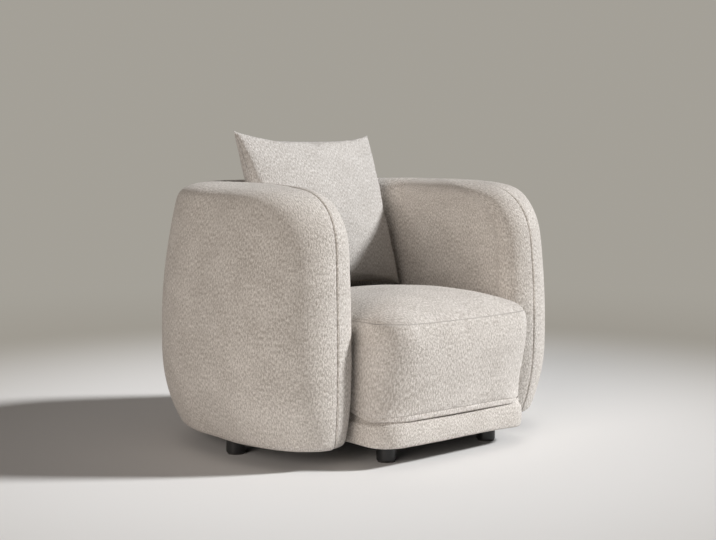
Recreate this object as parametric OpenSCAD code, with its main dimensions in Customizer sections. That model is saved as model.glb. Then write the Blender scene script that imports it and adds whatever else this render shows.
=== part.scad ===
// Tub chair: a rounded barrel of arms and back on a low base, with a loose seat
// cushion and a loose scatter pillow. Millimetres, +Z up, front towards -Y, the
// origin on the floor at the middle of the chair's box.

/* [Overall] */
// Width over both arms at their widest
overall_w = 1070; // [960:10:1240]
// Depth from the seat cushion's front to the back's widest point
overall_d = 880; // [820:10:1000]
// Height of the arms and the back
arm_h = 695; // [640:5:780]
// Clear height between the floor and the upholstery
floor_gap = 50; // [40:1:80]
// Width between the two arms
inner_w = 544; // [480:2:600]

/* [Barrel] */
// Height of the barrel's widest line
belly_h = 283; // [240:1:330]
// How far the barrel draws in at its foot
belly_low = 54; // [30:1:70]
// How far the barrel draws in at its top
belly_high = 56; // [30:1:70]
// Plan radius of the two rear corners at the widest line
back_corner_r = 370; // [300:5:400]
// Plan radius of the corners inside the tub
inner_corner_r = 120; // [80:1:150]
// Thickness of the back at seat height
back_t = 223; // [190:1:260]
// How far the inside of the back leans over its height
back_reach = 90; // [40:1:110]
// Distance from the cushion's front to the front of the arms
nose_setback = 119; // [90:1:160]
// Length of the outer curve of each arm's front at its foot
nose_outer_l = 315; // [290:1:325]
// Length of the inner curve of each arm's front at its foot
nose_inner_l = 60; // [52:1:80]
// Height of the rounded top front corner of each arm
nose_drop_h = 160; // [110:1:200]
// Length of the rounded top front corner of each arm
nose_drop_l = 160; // [110:1:180]
// How far the crest falls at the front of each arm
crest_fall = 12; // [6:1:16]
// Height of the soft roll along the top
top_roll = 45; // [30:1:60]

/* [Upholstery] */
// Thickness of the woven cover with its lining
cover_t = 3; // [2:0.5:4]
// Thickness of the padding on the outside of the barrel
outer_pad_t = 20; // [10:1:28]
// Thickness of the foam on the inside of the barrel
inner_foam_t = 36; // [20:1:40]
// Gap between soft layers
layer_gap = 0.4; // [0.3:0.1:0.8]
// Radius at which the covers turn under at the foot
foot_roll = 12; // [8:1:16]

/* [Seat] */
// Gap between the seat cushion and each arm
seat_side_gap = 5; // [3:0.5:10]
// Height of the base rail's top
rail_top_h = 136; // [126:1:160]
// Distance from the cushion's front to the rail's front
rail_setback = 38; // [20:1:60]
// Plan radius of the rail's front corners
rail_corner_r = 80; // [60:1:120]
// Height of the seat cushion's flat top edge
seat_top_h = 388; // [340:1:420]
// Rise of the seat cushion's crown
seat_crown = 30; // [15:1:45]
// Plan radius of the seat cushion's front corners
seat_corner_r = 92; // [80:1:140]
// Forward bow of the seat cushion's front
seat_bow = 11; // [5:1:20]
// Radius of the seat cushion's soft upper edge
seat_edge_r = 75; // [50:1:90]
// Radius of the seat cushion's lower edge
seat_under_r = 14; // [10:1:20]
// How far the cushion's sides swell between their seams
seat_swell = 4; // [2:0.5:4.5]

/* [Pillow] */
// Width of the pillow between its points
pillow_w = 505; // [420:1:520]
// Height of the pillow between its points
pillow_h = 452; // [380:1:500]
// Thickness of the pillow at its middle
pillow_t = 150; // [110:1:165]
// How far the pillow's edges draw in between its points
pillow_draw = 15; // [8:1:24]
// Distance of the pillow's middle from the chair's middle, towards the right arm
pillow_aside = 11; // [0:1:14]
// Lean of the pillow against the back, in degrees
pillow_lean = 17; // [12:1:22]
// Turn of the pillow towards the left arm, in degrees
pillow_turn = 4.5; // [0:0.5:6]

/* [Frame] */
// Thickness of the plywood boards
board_t = 18; // [15:1:21]
// Side of the posts
post_w = 34; // [28:1:40]
// Height of the middle ring
middle_ring_h = 350; // [300:1:400]
// Thickness of the seat box's rails
rail_t = 22; // [18:1:25]
// Width of the elastic webbing
webbing_w = 60; // [40:1:70]
// Thickness of the elastic webbing
webbing_t = 1.5; // [1:0.5:2]
// Thickness of the deck pad on the webbing
deck_t = 5; // [4:1:6]
// Thickness of the black cloth under the chair
dust_t = 1; // [1:0.5:1.5]

/* [Feet] */
// Diameter of the round feet
foot_d = 50; // [40:1:60]
// Edge rounding of the feet
foot_edge_r = 3; // [2:0.5:5]
// Thickness of the glides under the feet
glide_t = 3; // [2:0.5:4]
// Half the distance between the two front feet
front_foot_x = 180; // [140:1:200]
// Distance from the rail's front back to the front feet
front_foot_in = 98; // [80:1:120]
// Distance from the barrel's foot in to the side feet
side_foot_in = 62; // [58:1:80]
// Half the distance between the two rear feet
rear_foot_x = 180; // [150:1:200]
// Diameter of the threaded studs
stud_d = 8; // [6:1:10]
// Length of the threaded studs
stud_l = 34; // [30:1:36]

/* [Zip] */
// Length of the zip in the cushion's back
zip_l = 290; // [200:5:300]
// Width of the zip's tape
zip_tape_w = 26; // [20:1:32]
// Width of the zip's coil
zip_coil_w = 5; // [4:0.5:6]
// Thickness of the zip's coil
zip_coil_t = 2; // [1.5:0.5:2.5]
// Length of the zip's slider
slider_l = 11; // [8:1:14]
// Thickness of the slider's walls
slider_wall = 1.2; // [1:0.1:1.5]
// Length of the slider's pull
pull_l = 22; // [14:1:26]

/* [Hidden] */
// How far a cut runs past what it cuts
cut = 1;
// Clearance of hard parts that fit into each other
fit_gap = 0.3;
// Share of the wall, from the outside, at which the seam runs
seam_share = 0.7;
// Share of the barrel's draw that the arm fronts follow
nose_belly_share = 0.57;
// Powers that shape the barrel's side and the rounded top front corner
belly_low_power = 2.6;
belly_high_power = 2.1;
nose_power = 2.4;
// Height over which the crest's fall runs out, as a share of the nose's drop
fall_reach = 1.5;
// Powers that shape the pillow's fullness and its drawn-in edges
pillow_full_power = 0.55;
pillow_edge_power = 2;

// Steps along half of the barrel's plan: front curve, side, rear turn, rear
nose_n = 5;
side_n = 3;
turn_n = 6;
rear_n = 2;
half_n = nose_n + side_n + turn_n + rear_n;
// Steps at which the outer and the inner panels change from arm to back
outer_split = nose_n + side_n + 4;
inner_split = nose_n + side_n;
// Heights of a panel's rows, as shares of its plain stretch and of its front corner
rise_shares = [0.2, 0.45, 0.72, 1];
drop_shares = [0.35, 0.65, 1];
roll_turns = [22.5, 45, 67.5, 90];
// Where the middle of a turned edge lies between its ends
turn_share = 0.3;
// How far the foam and the padding stay back from the seam line
foam_joint = 1;
foam_joint_share = 0.1;

// Depths below the cover's face
pad_d = cover_t + layer_gap;
outer_frame_d = pad_d + outer_pad_t + layer_gap;
inner_frame_d = pad_d + inner_foam_t + layer_gap;
// Heights in the base
dust_z = floor_gap + layer_gap;
board_z = dust_z + dust_t + fit_gap;
board_top = board_z + board_t;
tuck_h = board_top + board_t;
wall_h = tuck_h + foot_roll;
rail_wood_top = rail_top_h - 2 * webbing_t - deck_t - layer_gap;
deck_z = rail_wood_top + 2 * webbing_t + layer_gap / 2;
seat_z = rail_top_h + layer_gap + fit_gap;
// Steps round a rail or cushion corner, and across its front, as shares of the half front
corner_n = 5;
front_shares = [-0.5, 0, 0.5];
// Heights at which the cushion's sides swell, as shares of its plain side
swell_shares = [0.33, 0.67];
// Rings of the cushion's top: by inset near its edge, then drawn in towards its middle
dome_edge_shares = [0.36, 0.66, 1];
dome_middle_shares = [0.68, 0.34];
ring_share = 0.8;
seam_in_share = 0.15;
// Power that shapes the cushion's crown
seat_power = 2.4;

// Plan of the seat
seat_half = inner_w / 2 - seat_side_gap;
swell = min(seat_swell, seat_side_gap - 2 * layer_gap);
seat_front = -overall_d / 2 + swell;
seat_back = inside_back(seat_z) - seat_side_gap;
seat_mid = (seat_front + seat_back) / 2;
seat_back_r = inner_corner_r - seat_side_gap;
seat_ring_in = ring_share * min(seat_corner_r, seat_back_r);
seat_seam_in = seam_in_share * seat_ring_in;

// The base rail
rail_front = -overall_d / 2 + rail_setback;
rail_bow = 6;
rail_swell = 2;
rail_flap = 24;
rail_wood_in = 14;
join_y = nose_front(floor_gap, 0) + nose_inner_l
  + (inside_back(floor_gap) - inner_corner_r - nose_front(floor_gap, 0) - nose_inner_l) / side_n;

// The seat box
box_x = seat_half - rail_wood_in - rail_t;
box_front = rail_front + rail_bow + rail_corner_r;
box_back = seat_back - seat_back_r / 2;
block_l = 30;
block_w = 22;
screw_d = 4;
screw_end = 6;
screw_head_t = 2;
long_shares = [-0.75, -0.25, 0.25, 0.75];
cross_shares = [0.05, 0.35, 0.65, 0.95];

// Feet and their fixings
base_in = foot_roll + cover_t + 2 * layer_gap;
stud_sink = 18;
nut_d = 11;
nut_l = 14;
nut_flange_d = 22;
nut_flange_t = 1.5;
front_foot_y = rail_front + front_foot_in;
side_foot_x = overall_w / 2 - belly_low - side_foot_in;
rear_foot_y = overall_d / 2 - belly_low - side_foot_in;
side_foot_y = (front_foot_y + rear_foot_y) / 2;

// Rings and posts of the frame
ring_gap = 4;
post_reach = 90;
post_foot_gap = 50;
top_ring_z = arm_h - inner_frame_d - top_roll - ring_gap - board_t;
arm_post_x = (inner_w / 2 + inner_frame_d + overall_w / 2 - belly_low - outer_frame_d) / 2;
nose_post_y = nose_front(floor_gap, 0) + post_reach;
side_post_ys = [side_foot_y - post_reach, side_foot_y + post_reach];
back_post_y = (inside_back(top_ring_z) + inner_frame_d + ring_gap
  + overall_d / 2 - belly_low - outer_frame_d) / 2;
back_post_xs = [-rear_foot_x - post_foot_gap, -rear_foot_x / 2, rear_foot_x / 2, rear_foot_x + post_foot_gap];

// Zip
tape_t = 0.8;
zip_z = (seat_z + seat_under_r + seat_top_h - seat_edge_r) / 2;
zip_y = seat_back + swell + fit_gap;
coil_l = zip_l - 2 * slider_l;

// Pillow
pillow_n = 12;
pillow_rim = cover_t + layer_gap / 2;
pillow_zip_h = 3;
pillow_zip_t = 2.5;
quarter_shares = [0, 0.25, 0.5, 0.75];

// Shape of the barrel

// How far the barrel is drawn in at height z
function belly(z) = z < belly_h
  ? belly_low * pow((belly_h - z) / (belly_h - floor_gap), belly_low_power)
  : belly_high * pow((z - belly_h) / (arm_h - belly_h), belly_high_power);
// How far the arms' fronts fall back at height z
function nose_drop(z) = let (t = min(max((z - arm_h + nose_drop_h) / nose_drop_h, 0), 1))
  nose_drop_l * (1 - pow(1 - pow(t, nose_power), 1 / nose_power));
// The foremost line of an arm at height z and depth d below its cover
function nose_front(z, d) = -overall_d / 2 + nose_setback + nose_belly_share * belly(z)
  + nose_drop(z + d) + d;
// Where height z of step j of the plan ends up, with the crest fallen towards the arms' fronts
function fallen(j, z) = let (low = arm_h - fall_reach * nose_drop_h, steps = nose_n + 1)
  z - crest_fall * pow(max(1 - j / steps, 0) * max((z - low) / (arm_h - low), 0), 2);
// The face of the inside back at height z
function inside_back(z) = overall_d / 2 - back_t
  + back_reach * (z - seat_top_h) / (arm_h - floor_gap);
// The seam's distance from the middle at height z
function seam_x(z) = inner_w / 2 + (1 - seam_share) * (overall_w / 2 - belly(z) - inner_w / 2);

// Step j of the outer plan line, from the seam at the arm's front to the middle of the back
function outer_point(j, z, d) =
  let (a = overall_w / 2 - belly(z) - d, y = overall_d / 2 - belly(z) - d,
       r = back_corner_r - belly(z) - d, f = nose_front(z, d), k = seam_x(z),
       l = nose_outer_l - belly(z) - nose_drop(z + d) - d, s = nose_n + side_n, t = s + turn_n)
  j <= nose_n ? [k + (a - k) * sin(90 * j / nose_n), f + l * (1 - cos(90 * j / nose_n))]
  : j <= s ? [a, f + l + (y - r - f - l) * (j - nose_n) / side_n]
  : j <= t ? [a - r + r * cos(90 * (j - s) / turn_n), y - r + r * sin(90 * (j - s) / turn_n)]
  : [(a - r) * (1 - (j - t) / rear_n), y];

// Step j of the inner plan line, matched to the outer line's steps
function inner_point(j, z, d) =
  let (a = inner_w / 2 + d, y = inside_back(z) + d, r = inner_corner_r + d,
       f = nose_front(z, d), k = seam_x(z), l = nose_inner_l + nose_drop(z + d) - d,
       s = nose_n + side_n, t = s + turn_n)
  j <= nose_n ? [k - (k - a) * sin(90 * j / nose_n), f + l * (1 - cos(90 * j / nose_n))]
  : j <= s ? [a, f + l + (y - r - f - l) * (j - nose_n) / side_n]
  : j <= t ? [a - r + r * cos(90 * (j - s) / turn_n), y - r + r * sin(90 * (j - s) / turn_n)]
  : [(a - r) * (1 - (j - t) / rear_n), y];

function plan_point(outer, j, z, d) = outer ? outer_point(j, z, d) : inner_point(j, z, d);
function crest_point(j, z) = seam_share * inner_point(j, z, 0) + (1 - seam_share) * outer_point(j, z, 0);

// A point in the roll, t degrees round from the wall to the crest
function roll_point(outer, j, d, t, joint) =
  let (z = arm_h - d - top_roll * (1 - sin(t)), k = crest_point(j, z + d),
       p = plan_point(outer, j, z, d), reach = max(norm(p - k), layer_gap))
  concat(k + (p - k) * max(cos(t), joint / reach), [fallen(j, z)]);

// A cover's foot, turned under the base, or tucked up inside the tub behind the front
function turned_foot(outer, j, d) = let (tucked = !outer && j > nose_n)
  [for (q = tucked
      ? [[tuck_h + d, foot_roll], [tuck_h + d + turn_share * (foot_roll - d), turn_share * foot_roll]]
      : [[floor_gap + d, foot_roll], [floor_gap + foot_roll, 0]])
    concat(plan_point(outer, j, q[0], d + q[1]), [q[0]])];

// One column of a panel from its foot to the crest
function column(outer, j, d, foam) =
  let (low = arm_h - d - nose_drop_h, high = arm_h - d - top_roll)
  concat(
    foam ? [] : turned_foot(outer, j, d),
    [for (z = concat([wall_h], [for (s = rise_shares) wall_h + s * (low - wall_h)],
                     [for (s = drop_shares) low + s * (high - low)]))
      concat(plan_point(outer, j, z, d), [fallen(j, z)])],
    [for (t = roll_turns) roll_point(outer, j, d, t, foam ? foam_joint : layer_gap / 2)]);

function transpose(rows) = [for (i = [0 : len(rows[0]) - 1]) [for (r = rows) r[i]]];
function flip_x(p) = [-p[0], p[1], p[2]];

// Rows of points of a panel over the steps of one half, or of the back over both halves
function panel(outer, from, to, both, d, foam) =
  let (cols = [for (j = [from : to]) column(outer, j, d, foam)],
       start = cols[0] + (foam && from == 0 ? foam_joint_share : 0) * (cols[1] - cols[0]),
       half = concat([start], [for (k = [1 : len(cols) - 1]) cols[k]]),
       whole = both ? concat(half, [for (k = [len(half) - 2 : -1 : 0]) [for (p = half[k]) flip_x(p)]])
                    : half,
       seen = outer ? whole : [for (k = [len(whole) - 1 : -1 : 0]) whole[k]])
  transpose(seen);

function flat(rows) = [for (r = rows) for (p = r) p];

// A sheet between a seen grid and a hidden grid of points. Rows run upwards and columns to
// the right as seen; a round sheet closes on itself, and a pole ends it in one point.
module sheet(seen, hidden, round = false, poles = []) {
  r = len(seen);
  c = len(seen[0]);
  last = round ? c - 1 : c - 2;
  h = r * c;
  n = 2 * r * c;
  open_top = len(poles) == 0;
  polyhedron(
    points = concat(flat(seen), flat(hidden), poles),
    faces = concat(
      [for (i = [0 : r - 2]) for (j = [0 : last]) let (k = (j + 1) % c, a = i * c, b = a + c)
        each [[a + j, b + j, b + k], [a + j, b + k, a + k],
              [h + a + j, h + b + k, h + b + j], [h + a + j, h + a + k, h + b + k]]],
      [for (j = [0 : last]) let (k = (j + 1) % c) each [[j, k, h + k], [j, h + k, h + j]]],
      open_top ? [for (j = [0 : last]) let (k = (j + 1) % c, a = (r - 1) * c)
        each [[a + k, a + j, h + a + j], [a + k, h + a + j, h + a + k]]]
      : [for (j = [0 : last]) let (k = (j + 1) % c, a = (r - 1) * c)
        each [[a + j, n, a + k], [h + a + j, h + a + k, n + 1]]],
      round ? [] : [for (i = [0 : r - 2]) let (a = i * c, b = a + c, e = c - 1)
        each [[b, a, h + b], [a, h + a, h + b],
              [a + e, b + e, h + b + e], [a + e, h + b + e, h + a + e]]]));
}

// A closed body of rings stacked upwards between two poles
module ringed(rings, low, high) {
  r = len(rings);
  c = len(rings[0]);
  n = r * c;
  polyhedron(
    points = concat(flat(rings), [low, high]),
    faces = concat(
      [for (i = [0 : r - 2]) for (j = [0 : c - 1]) let (k = (j + 1) % c, a = i * c, b = a + c)
        each [[a + j, b + j, b + k], [a + j, b + k, a + k]]],
      [for (j = [0 : c - 1]) let (k = (j + 1) % c) [j, k, n]],
      [for (j = [0 : c - 1]) let (k = (j + 1) % c, a = (r - 1) * c) [a + j, n + 1, a + k]]));
}

// Barrel layers

module cover_panel(outer, from, to, both = false) {
  sheet(panel(outer, from, to, both, 0, false), panel(outer, from, to, both, cover_t, false));
}

module foam_panel(outer, from, to, both = false) {
  deep = outer ? outer_frame_d - layer_gap : inner_frame_d - layer_gap;
  sheet(panel(outer, from, to, both, pad_d, true), panel(outer, from, to, both, deep, true));
}

module left() { mirror([1, 0, 0]) children(); }

module right_outer_cover() { color("#c4b8a8") cover_panel(true, 0, outer_split); }
module left_outer_cover() { left() right_outer_cover(); }
module outside_back_cover() { color("#bfb3a3") cover_panel(true, outer_split, half_n, true); }
module right_inner_cover() { color("#cbbfb0") cover_panel(false, 0, inner_split); }
module left_inner_cover() { left() right_inner_cover(); }
module inside_back_cover() { color("#c7bbab") cover_panel(false, inner_split, half_n, true); }

module right_outer_padding() { color("#f2efe6") foam_panel(true, 0, outer_split); }
module left_outer_padding() { left() right_outer_padding(); }
module back_outer_padding() { color("#f2efe6") foam_panel(true, outer_split, half_n, true); }
module right_inner_foam() { color("#efe3b8") foam_panel(false, 0, inner_split); }
module left_inner_foam() { left() right_inner_foam(); }
module inside_back_foam() { color("#efe3b8") foam_panel(false, inner_split, half_n, true); }

// Base rail and seat cushion plans

// Front line of a seat form, from its left back end round the front to its right back end
function front_line(half, front, r, bow, back, n) =
  let (y = front + bow + r)
  concat(
    [[-half, back]],
    [for (t = [0 : n]) [-half + r - r * cos(90 * t / n), y - r * sin(90 * t / n)]],
    [for (s = front_shares) [s * (half - r), front + bow * s * s]],
    [for (t = [0 : n]) [half - r + r * sin(90 * t / n), y - r * cos(90 * t / n)]],
    [[half, back]]);
function rail_line(inset) =
  front_line(seat_half - inset, rail_front + inset, rail_corner_r - inset, rail_bow, join_y, corner_n);

// Rear line of the seat, from its right side round the back to its left side
function seat_rear_line(inset) =
  let (h = seat_half - inset, r = seat_back_r - inset, y = seat_back - inset - r)
  concat(
    [for (t = [0 : turn_n / 2]) [h - r + r * cos(180 * t / turn_n), y + r * sin(180 * t / turn_n)]],
    [[0, y + r]],
    [for (t = [0 : turn_n / 2]) [-h + r - r * sin(180 * t / turn_n), y + r * cos(180 * t / turn_n)]]);
// Closed line of the seat cushion at an inset from its sides
function seat_line(inset) = concat(
  front_line(seat_half - inset, seat_front + inset, seat_corner_r - inset, seat_bow, seat_mid, corner_n),
  seat_rear_line(inset));

function lift(line, z) = [for (p = line) [p[0], p[1], z]];

// Height of the cushion's top at an inset from its side
function seat_dome(inset) = seat_top_h - seat_edge_r + (seat_edge_r + seat_crown)
  * pow(1 - pow(1 - min(max(inset, 0), seat_half) / seat_half, seat_power), 1 / seat_power);
// Height of the cushion's faces at a place on it, read from its rings across and along
function seat_rings(reach) = concat(
  [[seat_seam_in, seat_dome(seat_seam_in)]],
  [for (s = dome_edge_shares) [s * seat_ring_in, seat_dome(s * seat_ring_in)]],
  [for (s = dome_middle_shares)
    [reach - s * (reach - seat_ring_in), seat_dome(seat_half - s * (seat_half - seat_ring_in))]]);
function seat_height(x, y) =
  let (r = seat_back_r, u = abs(x) - seat_half + r, v = y - seat_back + r)
  u > 0 && v > 0 ? lookup(r - norm([u, v]), seat_rings(seat_half))
  : min(lookup(r - u, seat_rings(seat_half)), lookup(r - v, seat_rings(seat_back - seat_mid)));
// Rings of the cushion's side, at a depth below its cover
function seat_side(d) = concat(
  [for (t = [0, 45, 90]) let (r = seat_under_r - d)
    lift(seat_line(d + r * (1 - sin(t))), seat_z + d + r * (1 - cos(t)))],
  [for (s = swell_shares) lift(seat_line(d - swell),
    seat_z + seat_under_r + s * (seat_top_h - seat_edge_r - seat_z - seat_under_r))],
  [lift(seat_line(d), seat_top_h - seat_edge_r - d / 2)],
  [lift(seat_line(d + seat_seam_in), seat_dome(seat_seam_in) - d)]);
// Rings of the cushion's top, from the seam at an extra gap inwards
function seat_top(d, gap) = concat(
  [lift(seat_line(d + seat_seam_in + gap), seat_dome(seat_seam_in + gap) - d)],
  [for (s = dome_edge_shares) lift(seat_line(d + s * seat_ring_in), seat_dome(s * seat_ring_in) - d)],
  [for (s = dome_middle_shares)
    let (z = seat_dome(seat_half - s * (seat_half - seat_ring_in)) - d)
    [for (p = seat_line(d + seat_ring_in)) [p[0] * s, seat_mid + (p[1] - seat_mid) * s, z]]]);
function seat_pole(d) = [0, seat_mid, seat_top_h + seat_crown - d];

module seat_core() {
  d = cover_t + layer_gap;
  color("#f1e6bd")
    ringed(concat(seat_side(d), seat_top(d, layer_gap)), [0, seat_mid, seat_z + d], seat_pole(d));
}
module seat_top_panel() {
  color("#d3c9bb")
    sheet(seat_top(0, layer_gap), seat_top(cover_t, layer_gap), true, [seat_pole(0), seat_pole(cover_t)]);
}
module seat_boxing() { color("#cfc4b5") sheet(seat_side(0), seat_side(cover_t), true); }
module seat_bottom_panel() {
  color("#8d8478") translate([0, 0, seat_z])
    linear_extrude(cover_t) polygon(seat_line(seat_under_r + layer_gap));
}

// Zip in the cushion's back

module seat_zip_tape() {
  color("#b9ad9d") translate([-zip_l / 2, zip_y, zip_z - zip_tape_w / 2])
    cube([zip_l, tape_t, zip_tape_w]);
}
module seat_zip_coil() {
  color("#8c8274") translate([-coil_l / 2, zip_y + tape_t, zip_z - zip_coil_w / 2])
    cube([coil_l, zip_coil_t, zip_coil_w]);
}
module seat_zip_slider() {
  deep = zip_coil_t + fit_gap + slider_wall;
  tall = zip_coil_w + 2 * (fit_gap + slider_wall);
  color("#6d6860") translate([coil_l / 2 - slider_l, zip_y + tape_t + fit_gap, zip_z]) {
    difference() {
      translate([0, 0, -tall / 2]) cube([slider_l, deep, tall]);
      translate([-cut, -cut, -zip_coil_w / 2 - fit_gap])
        cube([slider_l + 2 * cut, zip_coil_t + cut, zip_coil_w + 2 * fit_gap]);
    }
    translate([slider_l / 3, deep, -pull_l + tall / 2]) cube([slider_l / 3, slider_wall, pull_l]);
  }
}

// Front rail

// Rows of the rail's cover at a depth below its face
function rail_rows(d) = let (m = rail_top_h - floor_gap, r = foot_roll - d) concat(
  [lift(rail_line(d + r), floor_gap + d), lift(rail_line(d), floor_gap + foot_roll),
   lift(rail_line(d - rail_swell), floor_gap + m / 2)],
  [for (t = [0, 45, 90]) lift(rail_line(d + r * (1 - cos(t))), rail_top_h - d - r * (1 - sin(t)))],
  [lift(rail_line(foot_roll + rail_flap), rail_top_h - d)]);
function rail_pad_rows(outer) = let (top = rail_top_h - pad_d, r = foot_roll - pad_d)
  [for (q = concat([[0, board_top + layer_gap]],
                   [for (t = [0, 45, 90]) [r * (1 - cos(t)), top - r * (1 - sin(t))]]))
    lift(rail_line(outer ? pad_d + q[0] : rail_wood_in - layer_gap), q[1])];

module front_rail_cover() { color("#c9bdae") sheet(rail_rows(0), rail_rows(cover_t)); }
module front_rail_padding() { color("#f2efe6") sheet(rail_pad_rows(true), rail_pad_rows(false)); }

// Seat box

module rail_shape(inset, back) {
  polygon(concat(rail_line(inset), [[seat_half - inset, back], [inset - seat_half, back]]));
}

module seat_front_rail() {
  color("#c9a26b") translate([0, 0, board_top]) linear_extrude(rail_wood_top - board_top)
    difference() {
      rail_shape(rail_wood_in, join_y);
      rail_shape(rail_wood_in + rail_t, join_y + cut);
      translate([-overall_w / 2, box_front]) square([overall_w, overall_d]);
    }
}

module seat_right_rail() {
  color("#c9a26b") difference() {
    translate([box_x, box_front, board_top])
      cube([rail_t, box_back - box_front, rail_wood_top - board_top]);
    block_screws_at(fit_gap);
  }
}
module seat_left_rail() { left() seat_right_rail(); }
module seat_rear_rail() {
  color("#c9a26b") translate([-box_x, box_back - rail_t, board_top])
    cube([2 * box_x, rail_t, rail_wood_top - board_top]);
}

// The front blocks stand just behind the front feet's nuts
block_places = [front_foot_y + nut_flange_d / 2 + 2 * fit_gap + block_l, box_back - rail_t - block_l];
module block_screws_at(gap) {
  for (y = block_places) for (s = [-1, 1])
    translate([box_x - block_w - gap, y + s * block_l / 2, (board_top + rail_wood_top) / 2])
      rotate([0, 90, 0]) {
        cylinder(h = block_w + rail_t - screw_end + 2 * gap, r = screw_d / 2 + gap, $fn = 24);
        cylinder(h = screw_head_t + 2 * gap, r = screw_d + gap, $fn = 24);
      }
}
module corner_blocks() {
  color("#b98f5a") for (m = [0, 1]) mirror([m, 0, 0]) difference() {
    for (y = block_places) translate([box_x - block_w, y - block_l, board_top])
      cube([block_w, 2 * block_l, rail_wood_top - board_top - webbing_t]);
    block_screws_at(fit_gap);
  }
}
module block_screws() { color("#9a9a9a") for (m = [0, 1]) mirror([m, 0, 0]) block_screws_at(0); }

long_xs = [for (s = long_shares) s * (box_x - webbing_w / 2)];
cross_ys = [for (s = cross_shares) box_front + s * (box_back - box_front - webbing_w)];
module long_webbing() {
  front = rail_front + rail_wood_in + rail_bow + webbing_t;
  color("#5d6b57") for (x = long_xs) translate([x - webbing_w / 2, front, rail_wood_top])
    cube([webbing_w, box_back - webbing_t - front, webbing_t]);
}
module cross_webbing() {
  reach = box_x + rail_t - webbing_t;
  color("#5d6b57") for (y = cross_ys) translate([-reach, y, rail_wood_top + webbing_t])
    cube([2 * reach, webbing_w, webbing_t]);
}
module seat_deck() {
  y = join_y + 2 * layer_gap;
  color("#d9d2c4") translate([0, 0, deck_z]) linear_extrude(deck_t) {
    rail_shape(foot_roll + rail_flap + 2 * layer_gap, box_back);
    polygon(concat([[-seat_half, y], [seat_half, y]], seat_rear_line(0)));
  }
}

// Frame of the arms and back

module tub_shape(z, outer_d, inner_d) {
  outer = [for (j = [0 : half_n]) outer_point(j, z, outer_d)];
  inner = [for (j = [0 : half_n]) inner_point(j, z, inner_d)];
  polygon(concat(
    outer, [for (j = [half_n - 1 : -1 : 0]) [-outer[j][0], outer[j][1]]],
    [for (j = [0 : half_n]) [-inner[j][0], inner[j][1]]], [for (j = [half_n - 1 : -1 : 0]) inner[j]]));
}

post_places = concat(
  [for (x = [-1, 1]) [x * arm_post_x, nose_post_y]],
  [for (x = [-1, 1]) for (y = side_post_ys) [x * arm_post_x, y]],
  [for (x = back_post_xs) [x, back_post_y]]);
module post_shapes(places, gap) {
  for (p = places) translate([p[0] - post_w / 2 - gap, p[1] - post_w / 2 - gap])
    square(post_w + 2 * gap);
}
module posts(places) {
  color("#c8a877") translate([0, 0, board_top]) linear_extrude(top_ring_z - board_top)
    post_shapes(places, 0);
}
module nose_posts() { posts([for (k = [0, 1]) post_places[k]]); }
module side_posts() { posts([for (k = [2 : 5]) post_places[k]]); }
module back_posts() { posts([for (k = [6 : len(post_places) - 1]) post_places[k]]); }

module top_ring() {
  color("#d2b384") translate([0, 0, top_ring_z]) linear_extrude(board_t)
    tub_shape(top_ring_z + board_t, outer_frame_d + ring_gap, inner_frame_d + ring_gap);
}
module middle_ring() {
  color("#d2b384") translate([0, 0, middle_ring_h]) linear_extrude(board_t) difference() {
    tub_shape(middle_ring_h + board_t, outer_frame_d + ring_gap, inner_frame_d + ring_gap);
    post_shapes(post_places, fit_gap);
  }
}

module base_shape(inset) {
  tub_shape(floor_gap, inset, inset);
  rail_shape(inset, join_y + cut);
  translate([-inner_w / 2 - inset - cut, join_y])
    square([inner_w + 2 * (inset + cut), inside_back(floor_gap) + inset + cut - join_y]);
}
foot_places = [[-front_foot_x, front_foot_y], [front_foot_x, front_foot_y],
  [-side_foot_x, side_foot_y], [side_foot_x, side_foot_y],
  [-rear_foot_x, rear_foot_y], [rear_foot_x, rear_foot_y]];

module base_board() {
  hole_x = front_foot_x + foot_d / 2;
  hole_front = front_foot_y + foot_d;
  color("#d2b384") difference() {
    translate([0, 0, board_z]) linear_extrude(board_t) difference() {
      base_shape(base_in);
      translate([-hole_x, hole_front]) square([2 * hole_x, box_back - 2 * rail_t - hole_front]);
    }
    for (p = foot_places) translate([p[0], p[1], board_z - cut])
      cylinder(h = board_t + 2 * cut, r = nut_d / 2 + fit_gap, $fn = 32);
  }
}
module dust_cover() {
  color("#2b2a29") translate([0, 0, dust_z]) linear_extrude(dust_t) difference() {
    base_shape(base_in + cover_t);
    for (p = foot_places) translate(p) circle(r = foot_d / 2 + fit_gap, $fn = 48);
  }
}

// Feet

module foot(k) {
  p = foot_places[k];
  h = board_z - glide_t;
  color("#1d1c1b") translate([p[0], p[1], glide_t]) difference() {
    rotate_extrude($fn = 64) difference() {
      square([foot_d / 2, h]);
      translate([foot_d / 2 - foot_edge_r, 0]) difference() {
        translate([0, -cut]) square([foot_edge_r + cut, foot_edge_r + cut]);
        translate([0, foot_edge_r]) circle(r = foot_edge_r, $fn = 32);
      }
    }
    translate([0, 0, h - stud_sink - fit_gap])
      cylinder(h = stud_sink + fit_gap + cut, r = stud_d / 2 + fit_gap, $fn = 24);
  }
}
module front_left_foot() { foot(0); }
module front_right_foot() { foot(1); }
module side_left_foot() { foot(2); }
module side_right_foot() { foot(3); }
module rear_left_foot() { foot(4); }
module rear_right_foot() { foot(5); }

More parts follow.
